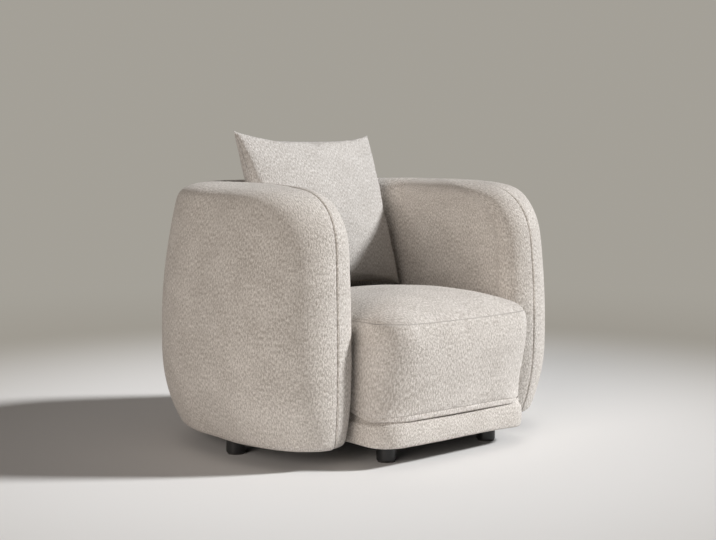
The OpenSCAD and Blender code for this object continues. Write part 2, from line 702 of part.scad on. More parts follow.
module foot_studs() {
  color("#a8a8a8") for (p = foot_places) translate([p[0], p[1], board_z - stud_sink])
    cylinder(h = stud_l, r = stud_d / 2, $fn = 24);
}
module tee_nuts() {
  color("#b5b5b0") for (p = foot_places) translate([p[0], p[1], board_z]) difference() {
    union() {
      translate([0, 0, board_t - nut_l]) cylinder(h = nut_l, r = nut_d / 2, $fn = 32);
      translate([0, 0, board_t]) cylinder(h = nut_flange_t, r = nut_flange_d / 2, $fn = 32);
    }
    translate([0, 0, -cut])
      cylinder(h = board_t + nut_flange_t + 2 * cut, r = stud_d / 2 + fit_gap, $fn = 24);
  }
}
module foot_glides() {
  color("#3a3836") for (p = foot_places) translate([p[0], p[1], 0])
    cylinder(h = glide_t, r = foot_d / 2 - foot_edge_r, $fn = 48);
}

// Pillow

// Half thickness of the pillow at shares u across and v up, each from -1 to 1
function pillow_full(u, v) = pillow_rim + (pillow_t / 2 - pillow_rim)
  * pow(max((1 - u * u) * (1 - v * v), 0), pillow_full_power);
// Place on the pillow's middle plane
function pillow_plane(u, v) = [
  u * (pillow_w / 2 - pillow_draw * (1 - pow(abs(v), pillow_edge_power))),
  v * (pillow_h / 2 - pillow_draw * (1 - pow(abs(u), pillow_edge_power)))];
// A point t in front of the middle plane, leaned back and turned, about the pillow's middle
function leaned(q, t) = let (y = q[1] * sin(pillow_lean) - t * cos(pillow_lean))
  [q[0] * cos(pillow_turn) - y * sin(pillow_turn), q[0] * sin(pillow_turn) + y * cos(pillow_turn),
   q[1] * cos(pillow_lean) + t * sin(pillow_lean)];
pillow_steps = [for (k = [0 : pillow_n]) -cos(180 * k / pillow_n)];

// The inside of the tub at distance x from the middle and height z, less its corner's flat steps
function tub_y(x, z) = let (c = inner_w / 2 - inner_corner_r, r = inner_corner_r)
  inside_back(z)
  - (x > c ? r - sqrt(max(r * r - (x - c) * (x - c), 0)) + r * (1 - cos(45 / turn_n)) : 0);
pillow_back_points = [for (u = pillow_steps) for (v = pillow_steps)
  leaned(pillow_plane(u, v), -pillow_full(u, v))];
pillow_foot = [for (u = pillow_steps) leaned(pillow_plane(u, -1) - [0, layer_gap + pillow_zip_h], 0)];
pillow_low_points = concat(
  [for (i = [1 : pillow_n]) for (s = quarter_shares)
    pillow_foot[i] + s * (pillow_foot[i - 1] - pillow_foot[i])],
  [for (s = [-1, 1]) for (u = pillow_steps) for (k = [0 : 3])
    leaned(pillow_plane(u, pillow_steps[k]), s * pillow_full(u, pillow_steps[k]))]);
// The pillow's middle, pushed back to the tub and let down to the cushion, one after the other
function pillow_y_at(z) = min([for (p = pillow_back_points)
  if (p[2] + z < arm_h) tub_y(abs(p[0] - pillow_aside), p[2] + z) - p[1]]) - layer_gap;
function pillow_z_at(y) = max([for (p = pillow_low_points)
  seat_height(p[0] - pillow_aside, y + p[1]) - p[2]]) + layer_gap;
pillow_z_first = seat_top_h + seat_crown + pillow_h / 2;
pillow_z_second = pillow_z_at(pillow_y_at(pillow_z_first));
pillow_mid_z = pillow_z_at(pillow_y_at(pillow_z_second));
pillow_mid_y = pillow_y_at(pillow_mid_z);

function pillow_grid(side, less, skip) =
  [for (j = [skip : pillow_n - skip]) [for (i = [skip : pillow_n - skip])
    let (u = pillow_steps[i], v = pillow_steps[j], t = pillow_full(u, v) - less)
    [-pillow_aside, pillow_mid_y, pillow_mid_z] + leaned(pillow_plane(u, v), side * t)]];

module pillow_front_panel() {
  color("#d8d1c7") sheet(pillow_grid(1, 0, 0), pillow_grid(1, cover_t, 0));
}
module pillow_back_panel() {
  color("#d2cabf") sheet(pillow_grid(-1, cover_t, 0), pillow_grid(-1, 0, 0));
}
module pillow_insert() {
  less = cover_t + layer_gap;
  color("#f4f2ee") sheet(pillow_grid(1, less, 1), pillow_grid(-1, less, 1));
}
module pillow_zip() {
  ends = [for (k = [3 : pillow_n - 3]) pillow_plane(pillow_steps[k], -1)];
  function band(t) = [for (h = [pillow_zip_h, 0]) [for (q = ends)
    [-pillow_aside, pillow_mid_y, pillow_mid_z] + leaned(q - [0, layer_gap + h], t)]];
  color("#b3a99b") sheet(band(pillow_zip_t / 2), band(-pillow_zip_t / 2));
}

base_board();
middle_ring();
top_ring();
nose_posts();
side_posts();
back_posts();
seat_front_rail();
seat_rear_rail();
seat_left_rail();
seat_right_rail();
corner_blocks();
block_screws();
long_webbing();
cross_webbing();
seat_deck();
dust_cover();
left_outer_padding();
right_outer_padding();
back_outer_padding();
left_inner_foam();
right_inner_foam();
inside_back_foam();
front_rail_padding();
left_outer_cover();
right_outer_cover();
outside_back_cover();
left_inner_cover();
right_inner_cover();
inside_back_cover();
front_rail_cover();
seat_core();
seat_top_panel();
seat_boxing();
seat_bottom_panel();
seat_zip_tape();
seat_zip_coil();
seat_zip_slider();
pillow_insert();
pillow_front_panel();
pillow_back_panel();
pillow_zip();
front_left_foot();
front_right_foot();
side_left_foot();
side_right_foot();
rear_left_foot();
rear_right_foot();
foot_studs();
tee_nuts();
foot_glides();
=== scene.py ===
# %% [markdown]
# # A tub chair, dressed
# The construction of this chair comes as a fixed frame: boards, posts, rails, feet and the
# plain solids of everything soft. This lesson gives each soft piece the shape it has on the
# real chair, and each surface its finish. All lengths are metres, the front looks towards -Y,
# and the origin lies on the floor under the middle of the chair.

# %% Load the frame
import math

import bmesh
import bpy
import numpy as np
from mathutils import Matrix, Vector, noise
from mathutils.bvhtree import BVHTree


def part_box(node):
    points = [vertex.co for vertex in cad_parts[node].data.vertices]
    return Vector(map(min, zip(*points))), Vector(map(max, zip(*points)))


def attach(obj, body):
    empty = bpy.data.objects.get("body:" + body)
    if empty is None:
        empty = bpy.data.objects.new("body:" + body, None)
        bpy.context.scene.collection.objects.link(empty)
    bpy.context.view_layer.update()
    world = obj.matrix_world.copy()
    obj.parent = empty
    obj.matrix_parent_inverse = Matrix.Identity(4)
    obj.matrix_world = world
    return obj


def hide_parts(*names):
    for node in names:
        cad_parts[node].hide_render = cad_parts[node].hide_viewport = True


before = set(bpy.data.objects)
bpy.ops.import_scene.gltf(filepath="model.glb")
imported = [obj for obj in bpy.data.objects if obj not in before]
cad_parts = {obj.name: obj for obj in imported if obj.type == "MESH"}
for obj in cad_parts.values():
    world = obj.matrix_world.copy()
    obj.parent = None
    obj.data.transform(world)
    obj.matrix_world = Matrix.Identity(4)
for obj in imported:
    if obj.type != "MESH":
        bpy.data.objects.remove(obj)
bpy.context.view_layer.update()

# %% [markdown]
# ## The camera
# The photograph looks at the chair's left front corner from a little above the seat. The
# camera stands where the traced edges of the chair say, and its lens is given for a sensor
# 36 mm wide, so that the chair fills the same part of the picture.

# %% Place the camera
camera_place = Vector((-2.227, -2.594, 0.778))
camera_heading = math.radians(40.47)
camera_pitch = math.radians(5.494)
lens_mm = 62.6

camera_data = bpy.data.cameras.new("camera")
camera_data.lens = lens_mm
camera_data.sensor_width = 36.0
camera = bpy.data.objects.new("camera", camera_data)
camera.location = camera_place
camera.rotation_euler = (math.pi / 2 - camera_pitch, 0.0, -camera_heading)
bpy.context.scene.collection.objects.link(camera)
bpy.context.scene.camera = camera
print("camera at", tuple(camera_place), "lens", lens_mm)

# %% [markdown]
# ## The shape of the barrel
# The arms and the back are one rounded tub. From above, each half runs from a seam on the
# front of the arm, round the nose, along the side and round the rear corner to the middle of
# the back. Seen from the front its side bellies out, and its top is a soft roll. A handful of
# lengths and a few curves say all that, and they are the same that the construction uses, so
# the covers land exactly on the padding. Towards the front of an arm its crest falls a little
# and its upper corner is rounded back. A step j counts along the half: 0 is the front seam and
# 16 is the middle of the back.

# %% Sizes of the barrel
overall_w = 1.070
overall_d = 0.880
arm_h = 0.695
floor_gap = 0.050
inner_w = 0.544
belly_h = 0.283
belly_low = 0.054
belly_high = 0.056
back_corner_r = 0.370
inner_corner_r = 0.120
back_t = 0.223
back_reach = 0.090
nose_setback = 0.119
nose_outer_l = 0.315
nose_inner_l = 0.060
nose_drop_h = 0.160
nose_drop_l = 0.160
crest_fall = 0.012
top_roll = 0.045
foot_roll = 0.012
tuck_h = 0.088
seam_share = 0.7
nose_belly_share = 0.57
seat_top_h = 0.388

LOW_CURVE, HIGH_CURVE, CORNER_CURVE = 2.6, 2.1, 2.4
FALL_REACH = 1.5
NOSE, SIDE, TURN, REAR = 5, 3, 6, 2
HALF = NOSE + SIDE + TURN + REAR
OUTER_SPLIT = NOSE + SIDE + 4
INNER_SPLIT = NOSE + SIDE
print("barrel:", overall_w, "wide,", overall_d, "deep,", arm_h, "high")


# %% Curves of the barrel
def belly(z):
    """How far the side of the barrel is drawn in at height z."""
    if z < belly_h:
        return belly_low * ((belly_h - z) / (belly_h - floor_gap)) ** LOW_CURVE
    return belly_high * ((z - belly_h) / (arm_h - belly_h)) ** HIGH_CURVE


def nose_drop(z, depth):
    """How far the rounded top corner of an arm's front lies back at height z."""
    t = min(max((z + depth - arm_h + nose_drop_h) / nose_drop_h, 0.0), 1.0)
    return nose_drop_l * (1 - (1 - t ** CORNER_CURVE) ** (1 / CORNER_CURVE))


def nose_front(z, depth):
    """The foremost line of an arm at height z, at a depth below its cover."""
    return -overall_d / 2 + nose_setback + nose_belly_share * belly(z) + nose_drop(z, depth) + depth


def fallen(j, z):
    """Where height z of step j ends up, with the crest fallen towards the arms' fronts."""
    low = arm_h - FALL_REACH * nose_drop_h
    ahead = max(1 - j / (NOSE + 1), 0.0)
    return z - crest_fall * (ahead * max((z - low) / (arm_h - low), 0.0)) ** 2


def inside_back(z):
    """The face of the inside back at height z."""
    return overall_d / 2 - back_t + back_reach * (z - seat_top_h) / (arm_h - floor_gap)


print("drawn in by", round(belly(floor_gap), 3), "m at the foot,", round(belly(arm_h), 3), "m at the top")


# %% Plan lines of the barrel
def plan_point(outer, j, z, depth):
    """Point of the outer or the inner plan line at step j."""
    seam = inner_w / 2 + (1 - seam_share) * (overall_w / 2 - belly(z) - inner_w / 2)
    front = nose_front(z, depth)
    if outer:
        drawn = belly(z) + depth
        side, back = overall_w / 2 - drawn, overall_d / 2 - drawn
        turn, nose = back_corner_r - drawn, nose_outer_l - nose_drop(z, depth) - drawn
    else:
        side, back = inner_w / 2 + depth, inside_back(z) + depth
        turn, nose = inner_corner_r + depth, nose_inner_l + nose_drop(z, depth) - depth
    if j <= NOSE:
        t = math.radians(90 * j / NOSE)
        return Vector((seam + (side - seam) * math.sin(t), front + nose * (1 - math.cos(t))))
    if j <= NOSE + SIDE:
        share = (j - NOSE) / SIDE
        return Vector((side, front + nose + (back - turn - front - nose) * share))
    if j <= NOSE + SIDE + TURN:
        t = math.radians(90 * (j - NOSE - SIDE) / TURN)
        return Vector((side - turn + turn * math.cos(t), back - turn + turn * math.sin(t)))
    return Vector(((side - turn) * (1 - (j - NOSE - SIDE - TURN) / REAR), back))


def crest_point(j, z):
    """Where the crest of the roll lies, between the two plan lines."""
    inner = plan_point(False, j, z, 0.0)
    return inner.lerp(plan_point(True, j, z, 0.0), 1 - seam_share)


print("half a barrel in", HALF, "steps, its nose at y", round(plan_point(True, 0, belly_h, 0.0).y, 3))

# %% [markdown]
# ## One column of a panel
# A cover panel turns under at its foot, runs up the wall and rolls over to the crest, where
# the outer panel meets the inner one. The outer panels end under the chair. The inner ones
# are tucked down behind the seat. Each column is one path from foot to crest, so a sheet can
# be laid along it from 0 at its foot to 1 at its crest. A quarter circle would make the outer
# roll look thin, so there it is a fuller curve, a superellipse.

# %% Path of a column
FOOT_SHARE = 0.04
ROLL_SHARE = 0.20
OUTER_ROLL_POWER = 2.7


def column_point(outer, j, rise, depth):
    """Point of a barrel panel at step j, rise 0 at its foot to 1 at its crest."""
    tucked = not outer and j > NOSE
    foot_h = tuck_h if tucked else floor_gap
    if rise < FOOT_SHARE:
        t = math.pi / 2 * (1 - rise / FOOT_SHARE)
        turned = (foot_roll - min(depth, foot_roll)) * (1 - math.cos(t))
        z = foot_h + depth + (foot_roll - min(depth, foot_roll)) * (1 - math.sin(t))
        x, y = plan_point(outer, j, z, depth + turned)
        return Vector((x, y, fallen(j, z)))
    roll_h = arm_h - depth - top_roll
    if rise < 1 - ROLL_SHARE:
        share = (rise - FOOT_SHARE) / (1 - FOOT_SHARE - ROLL_SHARE)
        z = foot_h + foot_roll + (roll_h - foot_h - foot_roll) * share
        x, y = plan_point(outer, j, z, depth)
        return Vector((x, y, fallen(j, z)))
    t = math.pi / 2 * (rise - 1 + ROLL_SHARE) / ROLL_SHARE
    power = 2 / (OUTER_ROLL_POWER if outer else 2)
    z = arm_h - depth - top_roll * (1 - math.sin(t) ** power)
    crest = crest_point(j, z + depth)
    x, y = crest + (plan_point(outer, j, z, depth) - crest) * max(math.cos(t), 0.0) ** power
    return Vector((x, y, fallen(j, z)))


print("crest of the left arm at", [round(c, 3) for c in column_point(True, 6, 1, 0)])

# %% [markdown]
# ## Cutting a sheet
# Every cover here starts as a flat grid of quads, like a cut piece of cloth. Its lines lie
# close together near the cut edges, where the cloth turns into a seam, and further apart in
# the open. Each vertex remembers its place on the cloth in a UV map measured in metres, so
# that the weave keeps its real size and follows the surface.

# %% Grid lines
EDGE_LINES = (0.0015, 0.0032, 0.0055, 0.009, 0.015)


def cut_lines(length, step, fine_start=True, fine_end=True):
    """Places of the grid lines along a length, close together at a sewn edge."""
    start = list(EDGE_LINES) if fine_start else []
    end = [length - e for e in reversed(EDGE_LINES)] if fine_end else []
    low = start[-1] if start else 0.0
    high = end[0] if end else length
    count = max(1, round((high - low) / step))
    middle = [low + (high - low) * k / count for k in range(1, count)]
    return [0.0] + start + middle + end + [length]


print("a strip of 0.1 m gets", len(cut_lines(0.1, 0.01)), "lines")


# %% A grid of cloth
def cloth_grid(bm, across, up, place, seam_gap=None, flip=False):
    """Adds a grid of quads whose vertices go to place(s, t), and returns its vertices.

    seam_gap(s, t) is the way from there to the nearest seam, kept for later."""
    cut = bm.verts.layers.float_vector.get("cut") or bm.verts.layers.float_vector.new("cut")
    columns, rows = len(across) - 1, len(up) - 1
    made = bmesh.ops.create_grid(bm, x_segments=columns, y_segments=rows, size=0.5)["verts"]
    faces = {f for v in made for f in v.link_faces}
    for vert in made:
        s = across[round((vert.co.x + 0.5) * columns)]
        t = up[round((vert.co.y + 0.5) * rows)]
        vert[cut] = Vector((s, t, seam_gap(s, t) if seam_gap else 1.0))
        vert.co = place(s, t)
    if flip:
        bmesh.ops.reverse_faces(bm, faces=list(faces))
    return made


print("edge lines:", EDGE_LINES)


# %% From a grid to a sheet
def finish_mesh(bm, name, smooth=True, girth=0.0):
    """Turns a bmesh into an object, with the cut places as its UV map.

    girth is the length after which a round strip starts again."""
    cut = bm.verts.layers.float_vector.get("cut")
    if cut:
        uv = bm.loops.layers.uv.new("cloth")
        for face in bm.faces:
            furthest = max(v[cut].x for v in face.verts)
            for loop in face.loops:
                s, t, gap = loop.vert[cut]
                loop[uv].uv = (s + girth if furthest - s > girth / 2 > 0 else s, t)
    for face in bm.faces:
        face.smooth = smooth
    mesh = bpy.data.meshes.new(name)
    bm.to_mesh(mesh)
    bm.free()
    piece = bpy.data.objects.new(name, mesh)
    bpy.context.scene.collection.objects.link(piece)
    return piece


def add_thickness(piece, thickness, levels=1):
    """Gives a sheet its thickness inwards and rounds it once."""
    if levels:
        rounding = piece.modifiers.new("rounding", "SUBSURF")
        rounding.levels = levels
        rounding.render_levels = levels
    wall = piece.modifiers.new("thickness", "SOLIDIFY")
    wall.thickness = thickness
    wall.offset = -1.0
    wall.use_even_offset = False
    return piece


def wave(point, scale, seed):
    """Smooth noise from -1 to 1 at a point, with waves about scale long."""
    return noise.noise(point / scale + Vector((seed, 2.7 * seed, -1.3 * seed)))


print("a wave at the origin:", round(wave(Vector((0.0, 0.0, 0.0)), 1.0, 1.0), 3))

# %% [markdown]
# ## Cloth that is pulled over foam
# A real cover isn't a perfect surface. It waves by a millimetre over a hand's width, it draws
# small puckers where a seam holds it, and at the seam itself both panels turn in, so a narrow
# valley runs between them. These three are added along each vertex's normal.

# %% Shape a pulled cover
COVER_T = 0.003
SEAM_DEPTH = 0.0042
SEAM_REACH = 0.0052
PUCKER_REACH = 0.030
PUCKER_L, LONG_WAVE_L, SHORT_WAVE_L = 0.017, 0.11, 0.045


def pull_cover(bm, verts, wave_h=0.0011, pucker_h=0.0007, seed=1.0, seam_depth=SEAM_DEPTH):
    """Sinks a panel's sewn edges and waves its face."""
    cut = bm.verts.layers.float_vector["cut"]
    bm.normal_update()
    moves = []
    for vert in verts:
        gap = vert[cut].z
        sink = seam_depth * max(0.0, 1 - gap / SEAM_REACH) ** 2
        near = math.exp(-gap / PUCKER_REACH)
        puckers = pucker_h * near * wave(vert.co, PUCKER_L, seed)
        waves = wave_h * wave(vert.co, LONG_WAVE_L, seed + 5)
        waves = waves + 0.4 * wave_h * wave(vert.co, SHORT_WAVE_L, seed + 9)
        moves.append((vert, vert.normal * (puckers + waves * (1 - 0.6 * near) - sink)))
    for vert, move in moves:
        vert.co += move


print("seams are", round(SEAM_DEPTH * 1000, 1), "mm deep")

# %% [markdown]
# ## The covers of the barrel
# The barrel could be modelled as one skin, but the real one is sewn from panels, and the seams
# between them are what the eye finds first. So each panel is its own sheet. A way along the
# whole tub, from the right arm's front seam round the back to the left arm's, gives every
# panel its stretch. The seams inside the tub are flatter than the one along the crest, and the
# turned-under foot of the outer panels hangs down a little.

# %% A way along the tub
MIDDLE_RISE = 0.45


def tub_point(outer, way, rise, depth):
    """Point of the tub at a way from 0, the right front seam, to 32, the left one."""
    point = column_point(outer, min(way, 2 * HALF - way), rise, depth)
    if way > HALF:
        point.x = -point.x
    return point


def ruler(point_at, first, last, count=200):
    """Lengths along a path and the values that they belong to."""
    values = [first + (last - first) * k / count for k in range(count + 1)]
    points = [point_at(v) for v in values]
    lengths = [0.0]
    for a, b in zip(points, points[1:]):
        lengths.append(lengths[-1] + (b - a).length)
    return lengths, values


way_round, _ = ruler(lambda w: tub_point(True, w, MIDDLE_RISE, 0.0), 0, 2 * HALF)
print("once round the outside of the tub:", round(way_round[-1], 3), "m")

# %% Panels of the tub
COVER_STEP = 0.010
FLAT_SEAM = 0.0028
FOOT_DROOP = 0.003
DROOP_REACH = 0.12


def foot_droop(rise):
    """How far the turned-under foot of an outer panel hangs down."""
    return FOOT_DROOP * max(0.0, 1 - rise / DROOP_REACH) ** 2


def tub_panel(name, outer, first, last, node, seed):
    """A cover panel of the tub between two ways."""
    middle = (first + last) / 2
    ease_first = 0.0 if outer or first == 0 else FLAT_SEAM
    ease_last = 0.0 if outer or last == 2 * HALF else FLAT_SEAM
    lengths, ways = ruler(lambda w: tub_point(outer, w, MIDDLE_RISE, 0.0), first, last)
    heights, rises = ruler(lambda r: tub_point(outer, middle, r, 0.0), 0.0, 1.0)
    width, height = lengths[-1], heights[-1]
    bm = bmesh.new()
    verts = cloth_grid(
        bm,
        cut_lines(width, COVER_STEP),
        cut_lines(height, COVER_STEP, fine_start=False),
        lambda s, t: tub_point(
            outer, np.interp(s, lengths, ways), np.interp(t, heights, rises), 0.0),
        lambda s, t: min(s + ease_first, width - s + ease_last, height - t),
        flip=not outer)
    pull_cover(bm, verts, seed=seed)
    cut = bm.verts.layers.float_vector["cut"]
    for vert in verts if outer else []:
        vert.co.z -= foot_droop(np.interp(vert[cut].y, heights, rises))
    piece = finish_mesh(bm, name)
    add_thickness(piece, COVER_T)
    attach(piece, "root")
    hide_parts(node)
    print(name, round(width, 3), "m by", round(height, 3), "m")
    return piece


barrel_covers = [
    tub_panel("right_arm_outside", True, 0, OUTER_SPLIT, "right_outer_cover", 1.0),
    tub_panel("back_outside", True, OUTER_SPLIT, 2 * HALF - OUTER_SPLIT, "outside_back_cover", 2.0),
    tub_panel("left_arm_outside", True, 2 * HALF - OUTER_SPLIT, 2 * HALF, "left_outer_cover", 3.0),
    tub_panel("right_arm_inside", False, 0, INNER_SPLIT, "right_inner_cover", 4.0),
    tub_panel("back_inside", False, INNER_SPLIT, 2 * HALF - INNER_SPLIT, "inside_back_cover", 5.0),
    tub_panel("left_arm_inside", False, 2 * HALF - INNER_SPLIT, 2 * HALF, "left_inner_cover", 6.0),
]

# %% [markdown]
# ## Wadding and foam under the covers
# Under the cloth lie layers that nobody sees until the cover comes off: fibre wadding outside,
# a thick sheet of foam inside. Each is a slab with two faces that follow the same columns at
# two depths. Its faces are two grids, and bridging their open edges closes the slab.

# %% A slab
LAYER_GAP = 0.0004
PAD_D = COVER_T + LAYER_GAP


def slab(name, face_at, back_at, columns, rows, flip=False):
    """A closed slab between two grids, each given by its place(s, t)."""
    bm = bmesh.new()
    cloth_grid(bm, columns, rows, face_at, flip=flip)
    cloth_grid(bm, columns, rows, back_at, flip=not flip)
    rims = [e for e in bm.edges if e.is_boundary]
    bmesh.ops.bridge_loops(bm, edges=rims)
    bmesh.ops.recalc_face_normals(bm, faces=list(bm.faces))
    return finish_mesh(bm, name)


def even(first, last, count):
    """Evenly spaced values with both ends."""
    return [first + (last - first) * k / count for k in range(count + 1)]


print("a slab starts", round(PAD_D * 1000, 1), "mm under the cover's face")

# %% Slabs of foam and wadding
WADDING_T = 0.020
FOAM_T = 0.036
SLAB_LOW, SLAB_TOP = FOOT_SHARE + 0.01, 0.97
SLAB_MARGIN = 0.12
SLAB_ROWS = 32


def tub_slab(name, outer, first, last, node, thickness):
    """A slab of foam or wadding behind one cover panel."""
    columns = max(6, round(5.5 * (last - first)))
    piece = slab(
        name,
        lambda s, t: tub_point(outer, s, t, PAD_D),
        lambda s, t: tub_point(outer, s, t, PAD_D + thickness),
        even(first + SLAB_MARGIN, last - SLAB_MARGIN, columns),
        even(SLAB_LOW, SLAB_TOP, SLAB_ROWS),
        flip=not outer)
    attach(piece, "root")
    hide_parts(node)
    print(name, thickness * 1000, "mm thick")
    return piece


waddings = [
    tub_slab("right_arm_wadding", True, 0, OUTER_SPLIT, "right_outer_padding", WADDING_T),
    tub_slab("back_wadding", True, OUTER_SPLIT, 2 * HALF - OUTER_SPLIT,
             "back_outer_padding", WADDING_T),
    tub_slab("left_arm_wadding", True, 2 * HALF - OUTER_SPLIT, 2 * HALF,
             "left_outer_padding", WADDING_T),
]
barrel_foams = [
    tub_slab("right_arm_foam", False, 0, INNER_SPLIT, "right_inner_foam", FOAM_T),
    tub_slab("back_foam", False, INNER_SPLIT, 2 * HALF - INNER_SPLIT, "inside_back_foam", FOAM_T),
    tub_slab("left_arm_foam", False, 2 * HALF - INNER_SPLIT, 2 * HALF, "left_inner_foam", FOAM_T),
]

# %% [markdown]
# ## The border under the cushion
# Below the cushion the front rail is covered too. Its cloth turns under at the foot, bulges a
# little, rounds over the top and runs back under the cushion. From above, its line has two
# round corners and a slight bow, and the cushion's front follows the same kind of line. The
# cushion weighs on the border's rim, so the line between them hangs below the deck, most at
# the left end. Both pieces are moved by the same curve, so they stay in touch.

# %% Sizes of the border and of the cushion's plan
seat_low_box, seat_high_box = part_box("seat_boxing")
seat_swell = 0.004
seat_half = seat_high_box.x - seat_swell
seat_front = seat_low_box.y + seat_swell
seat_back = seat_high_box.y - seat_swell
seat_low = seat_low_box.z
seat_corner_r = 0.092
seat_bow = 0.011
rail_low_box, rail_high_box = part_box("front_rail_cover")
rail_top = rail_high_box.z
rail_bulge = 0.0022
rail_front = rail_low_box.y + 0.002
rail_back = rail_high_box.y
rail_corner_r = 0.080
rail_bow = 0.006
rail_roll = 0.005
RAIL_FLAP = 0.031
FOOT_TURN, WALL_TOP, RIM_TURN = 0.1, 0.6, 0.7
RIM_DROP, RIM_REACH, RIM_GAP = 0.022, 0.014, 0.0025
RIM_END_DROP = {-1.0: 0.004, 1.0: 0.018}
FOOT_END_DROP = {-1.0: 0.0, 1.0: 0.016}
print("rail's front at", round(rail_front, 3), "cushion's front at", round(seat_front, 3))


# %% Front line of the border
def front_line(share, half, front, r, bow, back):
    """Point and outward direction on a front line, share 0 at its -X end to 1 at its +X end."""
    straight = max(back - front - bow - r, 0.001)
    arc, width = math.pi / 2 * r, 2 * (half - r)
    s = share * (2 * straight + 2 * arc + width)
    if s > straight + arc + width / 2:
        point, out = front_line(1 - share, half, front, r, bow, back)
        return Vector((-point.x, point.y)), Vector((-out.x, out.y))
    if s < straight:
        return Vector((-half, back - s)), Vector((-1.0, 0.0))
    if s < straight + arc:
        t = (s - straight) / r
        out = Vector((-math.cos(t), -math.sin(t)))
        return Vector((-half + r, front + bow + r)) + out * r, out
    x = s - straight - arc - width / 2
    return Vector((x, front + bow * (2 * x / width) ** 2)), Vector((0.0, -1.0))


middle_point, _ = front_line(0.5, seat_half, rail_front, rail_corner_r, rail_bow, rail_back)
print("middle of the border at", [round(c, 3) for c in middle_point])


# %% Profile and hang of the border
def rail_profile(t):
    """Inset and height of the rail's cover, t from 0 under the foot to 1 at its flap."""
    if t < FOOT_TURN:
        a = math.pi / 2 * (1 - t / FOOT_TURN)
        return foot_roll * (1 - math.cos(a)), floor_gap + foot_roll * (1 - math.sin(a))
    if t < WALL_TOP:
        share = (t - FOOT_TURN) / (WALL_TOP - FOOT_TURN)
        z = floor_gap + foot_roll + (rail_top - floor_gap - foot_roll - rail_roll) * share
        return -rail_bulge * math.sin(math.pi * share), z
    if t < RIM_TURN:
        a = math.pi / 2 * (t - WALL_TOP) / (RIM_TURN - WALL_TOP)
        return rail_roll * (1 - math.cos(a)), rail_top - rail_roll * (1 - math.sin(a))
    return rail_roll + RAIL_FLAP * (t - RIM_TURN) / (1 - RIM_TURN), rail_top


def end_drop(x, drops):
    """What is added to a drop towards the border's ends, from the value for either end."""
    return drops[math.copysign(1.0, x)] * min(1.0, abs(x) / seat_half) ** 3


def rim_drop(x, inset):
    """How far the line between border and cushion hangs below the border's top."""
    return (RIM_DROP + end_drop(x, RIM_END_DROP)) * max(0.0, 1 - inset / RIM_REACH)


def rail_point(share, t, depth=0.0):
    """Point of the rail's cover, or of what lies at a depth under it."""
    point, out = front_line(share, seat_half, rail_front, rail_corner_r, rail_bow, rail_back)
    inset, z = rail_profile(t)
    x, y = point - out * (inset + depth)
    height = (z - floor_gap) / (rail_top - floor_gap)
    foot_drop = end_drop(x, FOOT_END_DROP)
    hang = foot_drop + (rim_drop(x, max(0.0, inset - rail_roll)) - foot_drop) * height
    inner_share = max(0.0, 1 - max(0.0, depth - PAD_D) / RIM_REACH)
    return Vector((x, y, min(z, rail_top - depth) - hang * inner_share))


print("the rim hangs", [round(rim_drop(x, 0.0), 3) for x in (-seat_half, 0.0, seat_half)], "m")

# %% Cover and wadding of the border
RAIL_MIDDLE = 0.4
RAIL_CLOTH_L = 0.135
RAIL_STEP_ALONG, RAIL_STEP_UP = 0.008, 0.005
RAIL_PAD_T = 0.0102
RAIL_PAD_FROM, RAIL_PAD_SPAN = 0.18, 0.56
rail_lengths, rail_shares = ruler(lambda a: rail_point(a, RAIL_MIDDLE), 0.0, 1.0)
bm = bmesh.new()
verts = cloth_grid(
    bm,
    cut_lines(rail_lengths[-1], RAIL_STEP_ALONG, False, False),
    cut_lines(RAIL_CLOTH_L, RAIL_STEP_UP, False, False),
    lambda s, t: rail_point(np.interp(s, rail_lengths, rail_shares), t / RAIL_CLOTH_L))
pull_cover(bm, verts, wave_h=0.0012, seed=7.0)
rail_cover = finish_mesh(bm, "front_border")
add_thickness(rail_cover, COVER_T)
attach(rail_cover, "root")
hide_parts("front_rail_cover")

rail_wadding = slab(
    "front_border_wadding",
    lambda s, t: rail_point(s, RAIL_PAD_FROM + RAIL_PAD_SPAN * t, PAD_D),
    lambda s, t: rail_point(s, RAIL_PAD_FROM + RAIL_PAD_SPAN * t, PAD_D + RAIL_PAD_T),
    even(0.0, 1.0, 60), even(0.0, 1.0, 12))
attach(rail_wadding, "root")
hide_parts("front_rail_padding")
print("border", round(rail_lengths[-1], 3), "m long, top at", round(rail_top, 3))

# %% [markdown]
# ## Blowing up a cushion
# A cushion's cover is cut flat and stuffed, so its face swells between the seams and the cloth
# near a seam, which is a little too long for it, draws into small folds. Sculpting that by
# hand looks like sculpting. A short cloth simulation does what stuffing does: pressure from
# inside, no gravity, the seams held. Each point may move only so far, so the cushion keeps its
# size.

# %% Cloth pressure
FRAMES = 20


